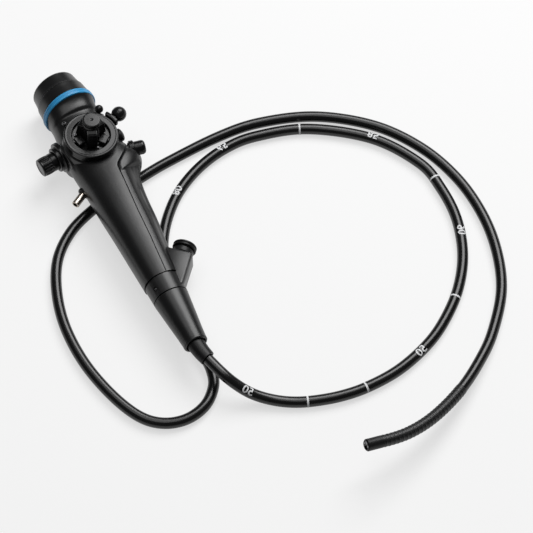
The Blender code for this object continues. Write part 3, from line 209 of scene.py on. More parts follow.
class ControlSettings(bpy.types.PropertyGroup):
    """Sizes of the controls."""
    valve_ribs: IntProperty(
        name="Valve ribs", description="Grip ribs round the suction valve", min=0, max=60, default=20)
    rib_radius: FloatProperty(
        name="Rib radius", description="Radius of one grip rib",
        subtype="DISTANCE", unit="LENGTH", min=0.0001, max=0.001, default=0.00034)


class TubeSettings(bpy.types.PropertyGroup):
    """Sizes and colours of the insertion tube."""
    radius: FloatProperty(
        name="Radius", description="Radius of the insertion tube",
        subtype="DISTANCE", unit="LENGTH", min=0.001, max=0.01, default=0.0029)
    cover_radius: FloatProperty(
        name="Cover radius", description="Radius of the bending section's cover",
        subtype="DISTANCE", unit="LENGTH", min=0.001, max=0.01, default=0.00302)
    ribs_per_link: IntProperty(
        name="Ribs per link", description="Fine ribs on each link of the bending section",
        min=1, max=8, default=3)
    skin_colour: FloatVectorProperty(
        name="Skin colour", description="Colour of the tube's sheath",
        subtype="COLOR", size=4, min=0.0, max=1.0, default=(0.0030, 0.0031, 0.0033, 1.0))
    print_colour: FloatVectorProperty(
        name="Print colour", description="Colour of the printed marks",
        subtype="COLOR", size=4, min=0.0, max=1.0, default=(0.78, 0.79, 0.80, 1.0))
    digit_height: FloatProperty(
        name="Digit height", description="Height of the printed numbers",
        subtype="DISTANCE", unit="LENGTH", min=0.001, max=0.006, default=0.0044)


class StageSettings(bpy.types.PropertyGroup):
    """Floor, lamps and camera."""
    floor_colour: FloatVectorProperty(
        name="Floor colour", description="Colour of the floor",
        subtype="COLOR", size=4, min=0.0, max=1.0, default=(0.34, 0.34, 0.34, 1.0))
    key_power: FloatProperty(
        name="Key power", description="Power of the large lamp behind on the right",
        subtype="POWER", min=0.0, max=200.0, default=14.5)
    fill_power: FloatProperty(
        name="Overhead power", description="Power of the lamp overhead",
        subtype="POWER", min=0.0, max=200.0, default=5.0)
    focal_length: FloatProperty(
        name="Focal length", description="Focal length on a 36 mm sensor, in mm",
        min=20.0, max=400.0, default=162.10)


def settings():
    return bpy.context.scene.endoscope_handle


# Places of the pieces' own axes

def axis_place(local, aim):
    """Frame at a point of the handle with its Z along aim, as the CAD part places its axes."""
    turn = UP.rotation_difference(Vector(aim).normalized())
    return Matrix.Translation(HANDLE_PLACE + Vector(local) * MM) @ turn.to_matrix().to_4x4()


GRIP = axis_place((0.0, 0.0, 0.0), (0.0, 1.0, 0.0))
HEAD = (Matrix.Translation(HANDLE_PLACE + Vector((3.9, 0.2, 0.0)) * MM)
        @ Matrix.Rotation(math.radians(HEAD_TURN), 4, "Z")
        @ UP.rotation_difference(Vector((0.0, 1.0, 0.0))).to_matrix().to_4x4())
KNOB = axis_place((-0.25, 2.4, 0.0), (math.sin(math.radians(3.4)), -math.sin(math.radians(3.0)), 1.0))
PORT = axis_place((0.0, -97.0, 0.0), (math.sin(math.radians(40.0)), math.cos(math.radians(40.0)), 0.0))
VALVE = axis_place((-14.0, 5.9, 0.7), (-0.989, -0.15, 0.0))
NIPPLE = axis_place((-11.7, -18.1, -1.6), (-0.833, -0.554, 0.0))
BUTTON = axis_place((19.7, -8.0, 3.8), (0.985, -0.17, 0.0))
DOME = axis_place((16.8, 2.3, 5.3), (0.97, 0.0, 0.24))
NECK_SCREW = axis_place((-7.6, 19.2, 9.5), (-0.35, 0.0, 1.0))
COLLAR_SCREW = axis_place((-6.3, -94.6, 6.6), (-0.69, 0.0, 0.72))


# Mesh helpers

def place_object(name, data):
    """A new object with this data, linked to the scene, at the origin."""
    made = bpy.data.objects.new(name, data)
    bpy.context.scene.collection.objects.link(made)
    return made


def mesh_from(name, work):
    """Turn a bmesh into a mesh, and free it."""
    mesh = bpy.data.meshes.new(name)
    work.to_mesh(mesh)
    work.free()
    return mesh


def add_piece(name, mesh, look, body, node=None):
    """Link a finished mesh, give it its material, and tell the frame what it rides on."""
    piece = place_object(name, mesh)
    piece.data.materials.clear()
    piece.data.materials.append(LOOK[look])
    if body is not None:
        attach(piece, body)
    if node is not None:
        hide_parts(node)
    return piece


def shade(mesh, angle=32.0):
    mesh.shade_smooth()
    mesh.set_sharp_from_angle(angle=math.radians(angle))


def soften(piece, width, segments=2, angle=32.0):
    """Round the hard edges so that they catch the light."""
    step = piece.modifiers.new("soft edges", "BEVEL")
    step.width = width * settings().edge_scale
    step.segments = segments
    step.limit_method = "ANGLE"
    step.angle_limit = math.radians(angle)
    step.harden_normals = True
    step.miter_outer = "MITER_ARC"


def held_profile(profile, closed):
    """Add a point close to both ends of each long stretch, so that flat faces stay flat to the light."""
    held = []
    ends = profile[1:] + profile[:1] if closed else profile[1:]
    for (r0, h0), (r1, h1) in zip(profile, ends):
        held.append((r0, h0))
        length = math.hypot(r1 - r0, h1 - h0)
        if length > 0.7:
            for share in (0.16 / length, 1.0 - 0.16 / length):
                held.append((r0 + (r1 - r0) * share, h0 + (h1 - h0) * share))
    if not closed:
        held.append(profile[-1])
    return held


def spaced(first, last, count):
    """Equal steps from first to last, with both ends."""
    return [first + (last - first) * i / count for i in range(count + 1)]


def finished_mesh(name, work, angle):
    """End a bmesh: normals outwards, into a mesh, smooth but for edges sharper than the angle."""
    bmesh.ops.recalc_face_normals(work, faces=work.faces)
    mesh = mesh_from(name, work)
    shade(mesh, angle)
    return mesh


def join_rings(work, rings):
    """Faces between rings of as many points each, and one face over either end."""
    for low, high in zip(rings, rings[1:]):
        for i in range(len(low)):
            j = (i + 1) % len(low)
            work.faces.new((low[i], low[j], high[j], high[i]))
    work.faces.new(rings[0])
    work.faces.new(rings[-1])


def lathe_mesh(name, profile, place, steps):
    """Turn a profile of radius and height in mm about the place's Z; u runs round, v along.

    A profile that starts on the axis also ends on it. Any other is closed to a ring.
    """
    closed = profile[0][0] > 0.0
    profile = held_profile(profile, closed)
    work = bmesh.new()
    rings = []
    for radius, height in profile:
        if radius < 1e-6:
            rings.append([work.verts.new(place @ Vector((0.0, 0.0, height * MM)))])
        else:
            rings.append([work.verts.new(place @ Vector((
                radius * MM * math.cos(a), radius * MM * math.sin(a), height * MM)))
                for a in [2.0 * math.pi * k / steps for k in range(steps)]])
    layer = work.loops.layers.uv.new("UVMap")
    along = [0.0]
    for (r0, h0), (r1, h1) in zip(profile, profile[1:] + profile[:1]):
        along.append(along[-1] + math.hypot(r1 - r0, h1 - h0))
    count = len(profile) if closed else len(profile) - 1
    for i in range(count):
        upper = rings[i]
        lower = rings[(i + 1) % len(rings)]
        for k in range(steps):
            j = (k + 1) % steps
            corners = [(upper[k % len(upper)], k, 0), (lower[k % len(lower)], k, 1)]
            if len(lower) > 1:
                corners.append((lower[j], k + 1, 1))
            if len(upper) > 1:
                corners.append((upper[j], k + 1, 0))
            if len(corners) < 3:
                continue
            face = work.faces.new([c[0] for c in corners])
            for loop, corner in zip(face.loops, corners):
                loop[layer].uv = (corner[1] / steps, along[i + corner[2]])
    return finished_mesh(name, work, 32.0)


def lathe(name, profile, place, look, body, node, edge, steps=None):
    """A turned piece that stands for a CAD node, its edges rounded by so many metres."""
    mesh = lathe_mesh(name, profile, place, steps or settings().steps_round)
    soften(add_piece(name, mesh, look, body, node), edge)


def twin(node, look, body, edge, angle=32.0):
    """Smooth copy of a CAD node: corners joined, flat faces merged, edges rounded."""
    name = node + "_smooth"
    work = bmesh.new()
    work.from_mesh(frame["nodes"][node].data)
    bmesh.ops.remove_doubles(work, verts=work.verts, dist=0.000004)
    bmesh.ops.dissolve_limit(work, angle_limit=math.radians(0.6), verts=work.verts, edges=work.edges)
    mesh = mesh_from(name, work)
    shade(mesh, angle)
    soften(add_piece(name, mesh, look, body, node), edge, 2, angle)


def baked(source, name):
    """Plain mesh of an object with its modifiers, for what Geometry Nodes made."""
    bpy.context.view_layer.update()
    graph = bpy.context.evaluated_depsgraph_get()
    mesh = bpy.data.meshes.new_from_object(source.evaluated_get(graph), depsgraph=graph)
    mesh.name = name
    data = source.data
    bpy.data.objects.remove(source, do_unlink=True)
    if data.users == 0 and isinstance(data, bpy.types.Mesh):
        bpy.data.meshes.remove(data)
    return mesh


def bored(mesh, holes):
    """Cut round holes out of a closed mesh: place, radius, lowest and highest point in mm."""
    name = mesh.name
    holder = place_object(name + "_solid", mesh)
    drills = []
    for place, radius, low, high in holes:
        rod = [(0.0, high), (radius, high), (radius, low), (0.0, low)]
        drill = place_object("drill", lathe_mesh("drill", rod, place, 48))
        drills.append(drill)
        step = holder.modifiers.new("bore", "BOOLEAN")
        step.operation = "DIFFERENCE"
        step.solver = "EXACT"
        step.object = drill
    made = baked(holder, name)
    for drill in drills:
        data = drill.data
        bpy.data.objects.remove(drill, do_unlink=True)
        bpy.data.meshes.remove(data)
    shade(made, 40.0)
    return made


# Centre line of the tube

def smooth_line(points, steps):
    """Catmull-Rom curve through the points."""
    ends = [2 * points[0] - points[1]] + list(points) + [2 * points[-1] - points[-2]]
    line = []
    for i in range(1, len(ends) - 2):
        a, b, c, d = ends[i - 1:i + 3]
        for k in range(steps):
            t = k / steps
            line.append(0.5 * (2 * b + (c - a) * t + (2 * a - 5 * b + 4 * c - d) * t * t
                               + (3 * b - a - 3 * c + d) * t * t * t))
    line.append(ends[-2].copy())
    return line


class CentreLine:
    """The tube's whole centre line, asked by distance from its hidden start."""

    def __init__(self):
        base = Vector((HANDLE_PLACE.x, HANDLE_PLACE.y, 0.0))
        inside = [base + Vector((0.0, -112.0, 15.25)) * MM, base + Vector((0.0, -126.0, 15.25)) * MM,
                  base + Vector((0.6, -134.5, 15.25)) * MM]
        self.points = smooth_line(inside + [base + Vector(p) * MM for p in TUBE_ROUTE], 10)
        self.total = [0.0]
        for a, b in zip(self.points, self.points[1:]):
            self.total.append(self.total[-1] + (b - a).length)
        self.bend_start = self.total[-1] - TIP_LENGTH - LINKS * LINK_PITCH

    def at(self, distance):
        for i in range(len(self.total) - 1):
            if self.total[i + 1] >= distance:
                share = (distance - self.total[i]) / (self.total[i + 1] - self.total[i])
                return self.points[i].lerp(self.points[i + 1], share)
        return self.points[-1].copy()

    def aim(self, distance):
        return (self.at(distance + 1.5 * MM) - self.at(distance - 1.5 * MM)).normalized()

    def sides(self, distance):
        """Level direction across the tube, and the one that points up."""
        along = self.aim(distance)
        across = along.cross(UP).normalized()
        return across, across.cross(along).normalized()

    def joint(self, number):
        return self.at(self.bend_start + number * LINK_PITCH)


LINE = CentreLine()


def skin_mesh(name, distances, radii, around=32):
    """Tube skin with capped ends along the centre line."""
    work = bmesh.new()
    layer = work.loops.layers.uv.new("UVMap")
    rings = []
    for distance, radius in zip(distances, radii):
        centre = LINE.at(distance)
        across, rise = LINE.sides(distance)
        rings.append([work.verts.new(centre + (across * math.cos(a) + rise * math.sin(a)) * radius)
                      for a in [2.0 * math.pi * k / around for k in range(around)]])
    for i in range(len(rings) - 1):
        for k in range(around):
            j = (k + 1) % around
            face = work.faces.new((rings[i][k], rings[i][j], rings[i + 1][j], rings[i + 1][k]))
            for loop, (u, v) in zip(face.loops, ((k, i), (k + 1, i), (k + 1, i + 1), (k, i + 1))):
                loop[layer].uv = (u / around, distances[v] / MM)
    work.faces.new(rings[0])
    work.faces.new(rings[-1])
    return finished_mesh(name, work, 40.0)


def tube_places():
    """Distances of the insertion tube's skin rings, from inside the boot to the bending section."""
    first = BOOT_END - SKIN_OVERLAP * MM
    return spaced(first, LINE.bend_start, int((LINE.bend_start - first) / (SKIN_STEP * MM)))


# Shader node groups and materials

def new_group(name, inputs, outputs, kind="ShaderNodeTree"):
    """A node tree with these inputs and outputs: label, kind of socket and, for inputs, value."""
    tree = bpy.data.node_groups.new(name, kind)
    for label, socket_kind, value in inputs:
        socket = tree.interface.new_socket(name=label, in_out="INPUT",
                                           socket_type="NodeSocket" + socket_kind)
        if value is not None:
            socket.default_value = value
    for label, socket_kind in outputs:
        tree.interface.new_socket(name=label, in_out="OUTPUT", socket_type="NodeSocket" + socket_kind)
    return tree, tree.nodes.new("NodeGroupInput"), tree.nodes.new("NodeGroupOutput")


def feed(tree, slot, value):
    """Link a socket to an input, or write a plain value into it."""
    if isinstance(value, bpy.types.NodeSocket):
        tree.links.new(value, slot)
    else:
        slot.default_value = value


def add_node(tree, kind, options=None, **inputs):
    """Add a node with its options and inputs; a label's spaces are written as low lines."""
    node = tree.nodes.new(kind)
    for label, value in (options or {}).items():
        setattr(node, label, value)
    for label, value in inputs.items():
        feed(tree, node.inputs[label.replace("_", " ")], value)
    return node


def math_node(tree, operation, first, second):
    node = add_node(tree, "ShaderNodeMath", {"operation": operation})
    feed(tree, node.inputs[0], first)
    feed(tree, node.inputs[1], second)
    return node.outputs[0]


def mix_node(tree, factor, first, second, blend="MIX"):
    """Mix two colours; the colour inputs and the colour result have places 6, 7 and 2."""
    node = add_node(tree, "ShaderNodeMix", {"data_type": "RGBA", "blend_type": blend}, Factor=factor)
    feed(tree, node.inputs[6], first)
    feed(tree, node.inputs[7], second)
    return node.outputs[2]


def noise_node(tree, vector, scale, detail=2.0):
    node = add_node(tree, "ShaderNodeTexNoise", Detail=detail, Vector=vector, Scale=scale)
    return node.outputs["Fac"]


def moulded_grain_group():
    """Fine spark-eroded grain and slow mottling of moulded plastic."""
    tree, start, end = new_group("moulded_grain", [
        ("Vector", "Vector", None), ("Grain Scale", "Float", 2600.0),
        ("Mottle Scale", "Float", 90.0)],
        [("Height", "Float"), ("Mottle", "Float")])
    where, grain = start.outputs["Vector"], start.outputs["Grain Scale"]
    fine = noise_node(tree, where, grain, 3.0)
    cells = add_node(tree, "ShaderNodeTexVoronoi", Vector=where, Scale=grain)
    pits = math_node(tree, "MULTIPLY", cells.outputs["Distance"], 0.6)
    feed(tree, end.inputs["Height"], math_node(tree, "ADD", fine, pits))
    feed(tree, end.inputs["Mottle"], noise_node(tree, where, start.outputs["Mottle Scale"], 4.0))
    return tree


def edge_wear_group():
    """Corners rubbed a little paler than the face."""
    tree, start, end = new_group("edge_wear", [
        ("Vector", "Vector", None), ("Colour", "Color", (0.0, 0.0, 0.0, 1.0)),
        ("Worn Colour", "Color", (0.1, 0.1, 0.1, 1.0)), ("Amount", "Float", 0.6)],
        [("Colour", "Color"), ("Mask", "Float")])
    shape = tree.nodes.new("ShaderNodeNewGeometry")
    ramp = add_node(tree, "ShaderNodeMapRange", Value=shape.outputs["Pointiness"], From_Min=0.515,
                    From_Max=0.60)
    patch = noise_node(tree, start.outputs["Vector"], 420.0, 3.0)
    mask = math_node(tree, "MULTIPLY", math_node(tree, "MULTIPLY", ramp.outputs["Result"], patch),
                     start.outputs["Amount"])
    feed(tree, end.inputs["Colour"],
         mix_node(tree, mask, start.outputs["Colour"], start.outputs["Worn Colour"]))
    feed(tree, end.inputs["Mask"], mask)
    return tree


def turned_lines_group():
    """Fine tool lines of a turned piece, along the second texture coordinate."""
    tree, start, end = new_group("turned_lines", [
        ("Vector", "Vector", None), ("Lines Per Mm", "Float", 9.0)],
        [("Height", "Float")])
    parts = add_node(tree, "ShaderNodeSeparateXYZ", Vector=start.outputs["Vector"])
    phase = math_node(tree, "MULTIPLY", parts.outputs["Y"], start.outputs["Lines Per Mm"])
    wobble = noise_node(tree, start.outputs["Vector"], 6.0)
    turn = math_node(tree, "MULTIPLY", math_node(tree, "ADD", phase, wobble), 2.0 * math.pi)
    feed(tree, end.inputs["Height"], math_node(tree, "SINE", turn, 0.0))
    return tree


def woven_sleeve_group():
    """Crossed threads that show faintly through a thin sheath; u round, v in mm along."""
    tree, start, end = new_group("woven_sleeve", [
        ("Vector", "Vector", None), ("Round", "Float", 24.0),
        ("Along", "Float", 1.6)], [("Height", "Float")])
    parts = add_node(tree, "ShaderNodeSeparateXYZ", Vector=start.outputs["Vector"])
    around = math_node(tree, "MULTIPLY", parts.outputs["X"], start.outputs["Round"])
    along = math_node(tree, "MULTIPLY", parts.outputs["Y"], start.outputs["Along"])
    threads = []
    for operation in ("ADD", "SUBTRACT"):
        phase = math_node(tree, operation, around, along)
        threads.append(math_node(tree, "SINE", math_node(tree, "MULTIPLY", phase, 2.0 * math.pi), 0.0))
    feed(tree, end.inputs["Height"], math_node(tree, "MAXIMUM", threads[0], threads[1]))
    return tree


def place_group(tree, group, **values):
    return add_node(tree, "ShaderNodeGroup", {"node_tree": group}, **values)


def start_material(name, metallic=0.0, specular=0.5, coat=0.0, coat_roughness=0.1):
    made = bpy.data.materials.new(name)
    made.use_nodes = True
    tree = made.node_tree
    shader = tree.nodes["Principled BSDF"]
    for label, value in (("Metallic", metallic), ("Specular IOR Level", specular),
                         ("Coat Weight", coat), ("Coat Roughness", coat_roughness)):
        shader.inputs[label].default_value = value
    return made, tree, shader, tree.nodes.new("ShaderNodeTexCoord")


def add_bump(tree, shader, height, strength, distance):
    bump = add_node(tree, "ShaderNodeBump", Strength=strength, Distance=distance, Height=height)
    feed(tree, shader.inputs["Normal"], bump.outputs["Normal"])


def spread(tree, value, low, high):
    """Stretch a noise's middle range to run from low to high."""
    node = add_node(tree, "ShaderNodeMapRange", Value=value, From_Min=0.3, From_Max=0.7, To_Min=low,
                    To_Max=high)
    return node.outputs["Result"]


def mottle(tree, shader, amount, colour, shades, gloss):
    """Let a slow noise vary the colour by a factor and the roughness, each within its two limits."""
    feed(tree, shader.inputs["Base Color"],
         mix_node(tree, 1.0, colour, spread(tree, amount, *shades), "MULTIPLY"))
    feed(tree, shader.inputs["Roughness"], spread(tree, amount, *gloss))


def moulded_material(name, colour, roughness, grain=2600.0, depth=0.000012, specular=0.5, worn=0.45):
    """Moulded plastic or rubber: grain, mottled gloss and rubbed corners."""
    made, tree, shader, place = start_material(name, specular=specular)
    where = place.outputs["Object"]
    grains = place_group(tree, GROUPS["grain"], Vector=where, Grain_Scale=grain, Mottle_Scale=110.0)
    paler = tuple(min(1.0, value * 4.0 + 0.02) for value in colour[:3]) + (1.0,)
    wear = place_group(tree, GROUPS["wear"], Vector=where, Colour=colour, Worn_Colour=paler, Amount=worn)
    mottle(tree, shader, grains.outputs["Mottle"], wear.outputs["Colour"], (0.92, 1.07),
           (roughness - 0.012, roughness + 0.018))
    add_bump(tree, shader, grains.outputs["Height"], 0.25, depth)
    return made


def sleeve_material(name, colour, roughness, depth, along):
    """Sheath of the tube or the bending section, with the braid faintly under it."""
    made, tree, shader, place = start_material(name)
    weave = place_group(tree, GROUPS["weave"], Vector=place.outputs["UV"], Round=20.0, Along=along)
    grains = place_group(tree, GROUPS["grain"], Vector=place.outputs["Object"], Grain_Scale=900.0,
                         Mottle_Scale=60.0)
    mottle(tree, shader, grains.outputs["Mottle"], colour, (0.8, 1.25),
           (roughness - 0.008, roughness + 0.012))
    add_bump(tree, shader, weave.outputs["Height"], 0.015, depth)
    return made


def turned_metal(name, colour, roughness):
    """Turned metal with fine tool lines; its texture coordinate follows the turning."""
    made, tree, shader, place = start_material(name, metallic=1.0)
    tool = place_group(tree, GROUPS["lines"], Vector=place.outputs["UV"], Lines_Per_Mm=9.0)
    grains = place_group(tree, GROUPS["grain"], Vector=place.outputs["Object"], Grain_Scale=700.0,
                         Mottle_Scale=260.0)
    mottle(tree, shader, grains.outputs["Mottle"], colour, (0.78, 1.1),
           (roughness - 0.05, roughness + 0.08))
    add_bump(tree, shader, tool.outputs["Height"], 0.3, 0.000006)
    return made


def glass_material(name, colour, roughness=0.03):
    """Coated lens glass over a dark barrel: dark, very smooth, faintly tinted."""
    made, tree, shader, place = start_material(name, specular=0.8, coat=1.0, coat_roughness=0.02)
    haze = noise_node(tree, place.outputs["Object"], 300.0)
    hazy = tuple(value * 1.6 for value in colour[:3]) + (1.0,)
    feed(tree, shader.inputs["Base Color"], mix_node(tree, haze, colour, hazy))
    feed(tree, shader.inputs["Roughness"], spread(tree, haze, roughness, roughness + 0.04))
    return made


GROUPS = {}
LOOK = {}


def build_materials():
    """Every finish of the object, once."""
    handle = settings()
    tube = bpy.context.scene.endoscope_tube
    GROUPS["grain"] = moulded_grain_group()
    GROUPS["wear"] = edge_wear_group()
    GROUPS["lines"] = turned_lines_group()
    GROUPS["weave"] = woven_sleeve_group()
    black = tuple(handle.plastic_colour)
    darker, darkest = [tuple(v * share for v in black[:3]) + (1.0,) for share in (0.85, 0.8)]
    rough = handle.plastic_roughness
    LOOK["shell"] = moulded_material("satin_shell", black, rough)
    LOOK["head"] = moulded_material("satin_head", black, rough - 0.02)
    LOOK["control"] = moulded_material("smooth_control", darkest, rough - 0.10, grain=3200.0,
                                       depth=0.000006, specular=0.32)
    LOOK["rubber"] = moulded_material("soft_rubber", darker, rough + 0.08, grain=1900.0,
                                      depth=0.00002, specular=0.3)
    LOOK["band"] = moulded_material("blue_band", tuple(handle.band_colour), 0.34, grain=3000.0,
                                    depth=0.000005, worn=0.1)
    LOOK["tube"] = sleeve_material("tube_sheath", tuple(tube.skin_colour), 0.25, 0.000008, 0.8)
    LOOK["bend"] = sleeve_material("bending_cover", (0.004, 0.0041, 0.0043, 1.0), 0.40, 0.00003, 1.3)
    LOOK["print"] = moulded_material("white_print", tuple(tube.print_colour), 0.5, grain=1500.0,
                                     depth=0.000008, worn=0.0)
    LOOK["nipple"] = turned_metal("warm_steel", (0.56, 0.50, 0.44, 1.0), 0.26)
    LOOK["steel"] = turned_metal("dark_steel", (0.16, 0.16, 0.165, 1.0), 0.34)
    LOOK["brass"] = turned_metal("turned_brass", (0.66, 0.50, 0.26, 1.0), 0.32)
    LOOK["lens"] = glass_material("coated_lens", (0.012, 0.016, 0.028, 1.0))
    LOOK["guide"] = glass_material("light_guide", (0.16, 0.17, 0.18, 1.0), 0.12)
    LOOK["fibre"] = moulded_material("fibre_sleeve", (0.50, 0.47, 0.38, 1.0), 0.5, grain=1400.0,
                                     depth=0.00002, worn=0.0)


# Geometry Nodes for what repeats

def node_tree_for(name, inputs):
    shape = ("Geometry", "Geometry")
    return new_group(name, [shape + (None,)] + inputs, [shape], "GeometryNodeTree")


def close_tree(tree, copies, finish, end):
    """End a tree: make the copies real, give them their finish and hand them out."""
    real = add_node(tree, "GeometryNodeRealizeInstances", Geometry=copies.outputs["Instances"])
    paint = add_node(tree, "GeometryNodeSetMaterial", Geometry=real.outputs["Geometry"], Material=finish)
    tree.links.new(paint.outputs["Geometry"], end.inputs["Geometry"])
    return tree


def hoops_tree():
    """A round hoop at every point, square to the point's aim: printed rings and cover ribs."""
    tree, start, end = node_tree_for("hoops_on_points", [
        ("Hoop Radius", "Float", 0.003), ("Half Width", "Float", 0.0003),
        ("Half Depth", "Float", 0.0001), ("Steps Round", "Int", 40),
        ("Finish", "Material", None)])
    given = start.outputs
    hoop = add_node(tree, "GeometryNodeCurvePrimitiveCircle", Resolution=given["Steps Round"],
                    Radius=given["Hoop Radius"])
    section = add_node(tree, "GeometryNodeCurvePrimitiveCircle", Resolution=8, Radius=1.0)
    size = add_node(tree, "ShaderNodeCombineXYZ", X=given["Half Depth"], Y=given["Half Width"], Z=1.0)
    scaled = add_node(tree, "GeometryNodeTransform", Geometry=section.outputs["Curve"],
                      Scale=size.outputs[0])
    sweep = add_node(tree, "GeometryNodeCurveToMesh", Curve=hoop.outputs["Curve"],
                     Profile_Curve=scaled.outputs["Geometry"])
    smooth = add_node(tree, "GeometryNodeSetShadeSmooth", Geometry=sweep.outputs["Mesh"])
    aim = add_node(tree, "GeometryNodeInputNamedAttribute", {"data_type": "FLOAT_VECTOR"}, Name="aim")
    turn = add_node(tree, "FunctionNodeAlignRotationToVector", {"axis": "Z"},
                    Vector=aim.outputs["Attribute"])
    copies = add_node(tree, "GeometryNodeInstanceOnPoints", Points=given["Geometry"],
                      Instance=smooth.outputs["Geometry"], Rotation=turn.outputs["Rotation"])
    return close_tree(tree, copies, given["Finish"], end)


def ribs_round_tree():
    """Straight ribs set round a cylinder, parallel to its axis."""
    tree, start, end = node_tree_for("ribs_round_axis", [
        ("Count", "Int", 20), ("Circle Radius", "Float", 0.005),
        ("Rib Radius", "Float", 0.0003), ("Rib Length", "Float", 0.008),
        ("Start Height", "Float", 0.004), ("Finish", "Material", None)])
    given = start.outputs
    circle = add_node(tree, "GeometryNodeMeshCircle", Vertices=given["Count"],
                      Radius=given["Circle Radius"])
    rib = add_node(tree, "GeometryNodeMeshUVSphere", Segments=10, Rings=12, Radius=0.5)
    width = math_node(tree, "MULTIPLY", given["Rib Radius"], 2.0)
    stretch = add_node(tree, "ShaderNodeCombineXYZ", X=width, Y=width, Z=given["Rib Length"])
    middle = math_node(tree, "ADD", math_node(tree, "MULTIPLY", given["Rib Length"], 0.5),
                       given["Start Height"])
    lift = add_node(tree, "ShaderNodeCombineXYZ", Z=middle)
    shaped = add_node(tree, "GeometryNodeTransform", Geometry=rib.outputs["Mesh"], Scale=stretch.outputs[0],
                      Translation=lift.outputs[0])
    smooth = add_node(tree, "GeometryNodeSetShadeSmooth", Geometry=shaped.outputs["Geometry"])
    copies = add_node(tree, "GeometryNodeInstanceOnPoints", Points=circle.outputs["Mesh"],
                      Instance=smooth.outputs["Geometry"])
    return close_tree(tree, copies, given["Finish"], end)


def run_tree(name, mesh, tree, **values):
    """Give the mesh a Geometry Nodes modifier with these inputs, and return the plain result."""
    holder = place_object(name + "_points", mesh)
    step = holder.modifiers.new("repeat", "NODES")
    step.node_group = tree
    for item in tree.interface.items_tree:
        label = item.name.replace(" ", "_")
        if item.item_type == "SOCKET" and item.in_out == "INPUT" and label in values:
            step[item.identifier] = values[label]
    return baked(holder, name)


def points_with_aim(name, distances):
    """A mesh of loose points on the tube's centre line, each with the line's direction."""
    mesh = bpy.data.meshes.new(name)
    mesh.from_pydata([LINE.at(d) for d in distances], [], [])
    aims = mesh.attributes.new("aim", "FLOAT_VECTOR", "POINT")
    for slot, distance in zip(aims.data, distances):
        slot.vector = LINE.aim(distance)
    return mesh


# Pieces

class ENDO_OT_tube(bpy.types.Operator):
    """Build the insertion tube with its printed rings and numbers"""
    bl_idname = "endoscope.tube"
    bl_label = "Insertion tube"

    def execute(self, context):
        sizes = context.scene.endoscope_tube
        places = tube_places()
        mesh = skin_mesh("insertion_tube_skin", places, [sizes.radius] * len(places))
        add_piece("insertion_tube_skin", mesh, "tube", "handle", "insertion_tube")
        GROUPS["hoops"] = hoops_tree()
        marks = points_with_aim("printed_rings", [BOOT_END + d * MM for d in PRINTED_RINGS])
        rings = run_tree("printed_rings", marks, GROUPS["hoops"], Hoop_Radius=sizes.radius - 0.00003,
                         Half_Width=0.00060, Half_Depth=0.00005, Steps_Round=48, Finish=LOOK["print"])
        add_piece("printed_rings", rings, "print", "handle")
        self.print_numbers(sizes)
        path = [LINE.at(d) for d in places]
        context.scene["tube_length"] = sum((b - a).length for a, b in zip(path, path[1:]))
        return {"FINISHED"}

    def print_numbers(self, sizes):
        """Numbers wrapped on the upper side of the tube, read along it, in one piece."""
        work = bmesh.new()
        for distance, text in PRINTED_NUMBERS:
            curve = bpy.data.curves.new("number_text", "FONT")
            curve.body = text
            curve.align_x = "CENTER"
            curve.align_y = "CENTER"
            curve.size = sizes.digit_height * FONT_PER_DIGIT
            curve.resolution_u = 4
            curve.offset = STROKE_GROWTH
            flat = bmesh.new()
            flat.from_mesh(baked(place_object("number_text", curve), "number_flat"))
            bmesh.ops.triangulate(flat, faces=flat.faces)
            bmesh.ops.subdivide_edges(flat, edges=[e for e in flat.edges if e.calc_length() > STROKE_EDGE],
                                      cuts=2, use_grid_fill=True)
            middle = LINE.at(BOOT_END + distance * MM)
            made = []
            for vert in flat.verts:
                where = BOOT_END + distance * MM - vert.co.x
                across, rise = LINE.sides(where)
                turn = math.radians(TEXT_LEAN) - vert.co.y / sizes.radius
                out = across * math.sin(turn) + rise * math.cos(turn)
                made.append(work.verts.new(LINE.at(where) + out * (sizes.radius + PRINT_LIFT)))
            flat.verts.index_update()
            for face in flat.faces:
                copy = work.faces.new([made[v.index] for v in face.verts])
                copy.normal_update()
                if copy.normal.dot(copy.calc_center_median() - middle) < 0.0:
                    copy.normal_flip()
            flat.free()
        add_piece("printed_numbers", mesh_from("printed_numbers", work), "print", "handle")


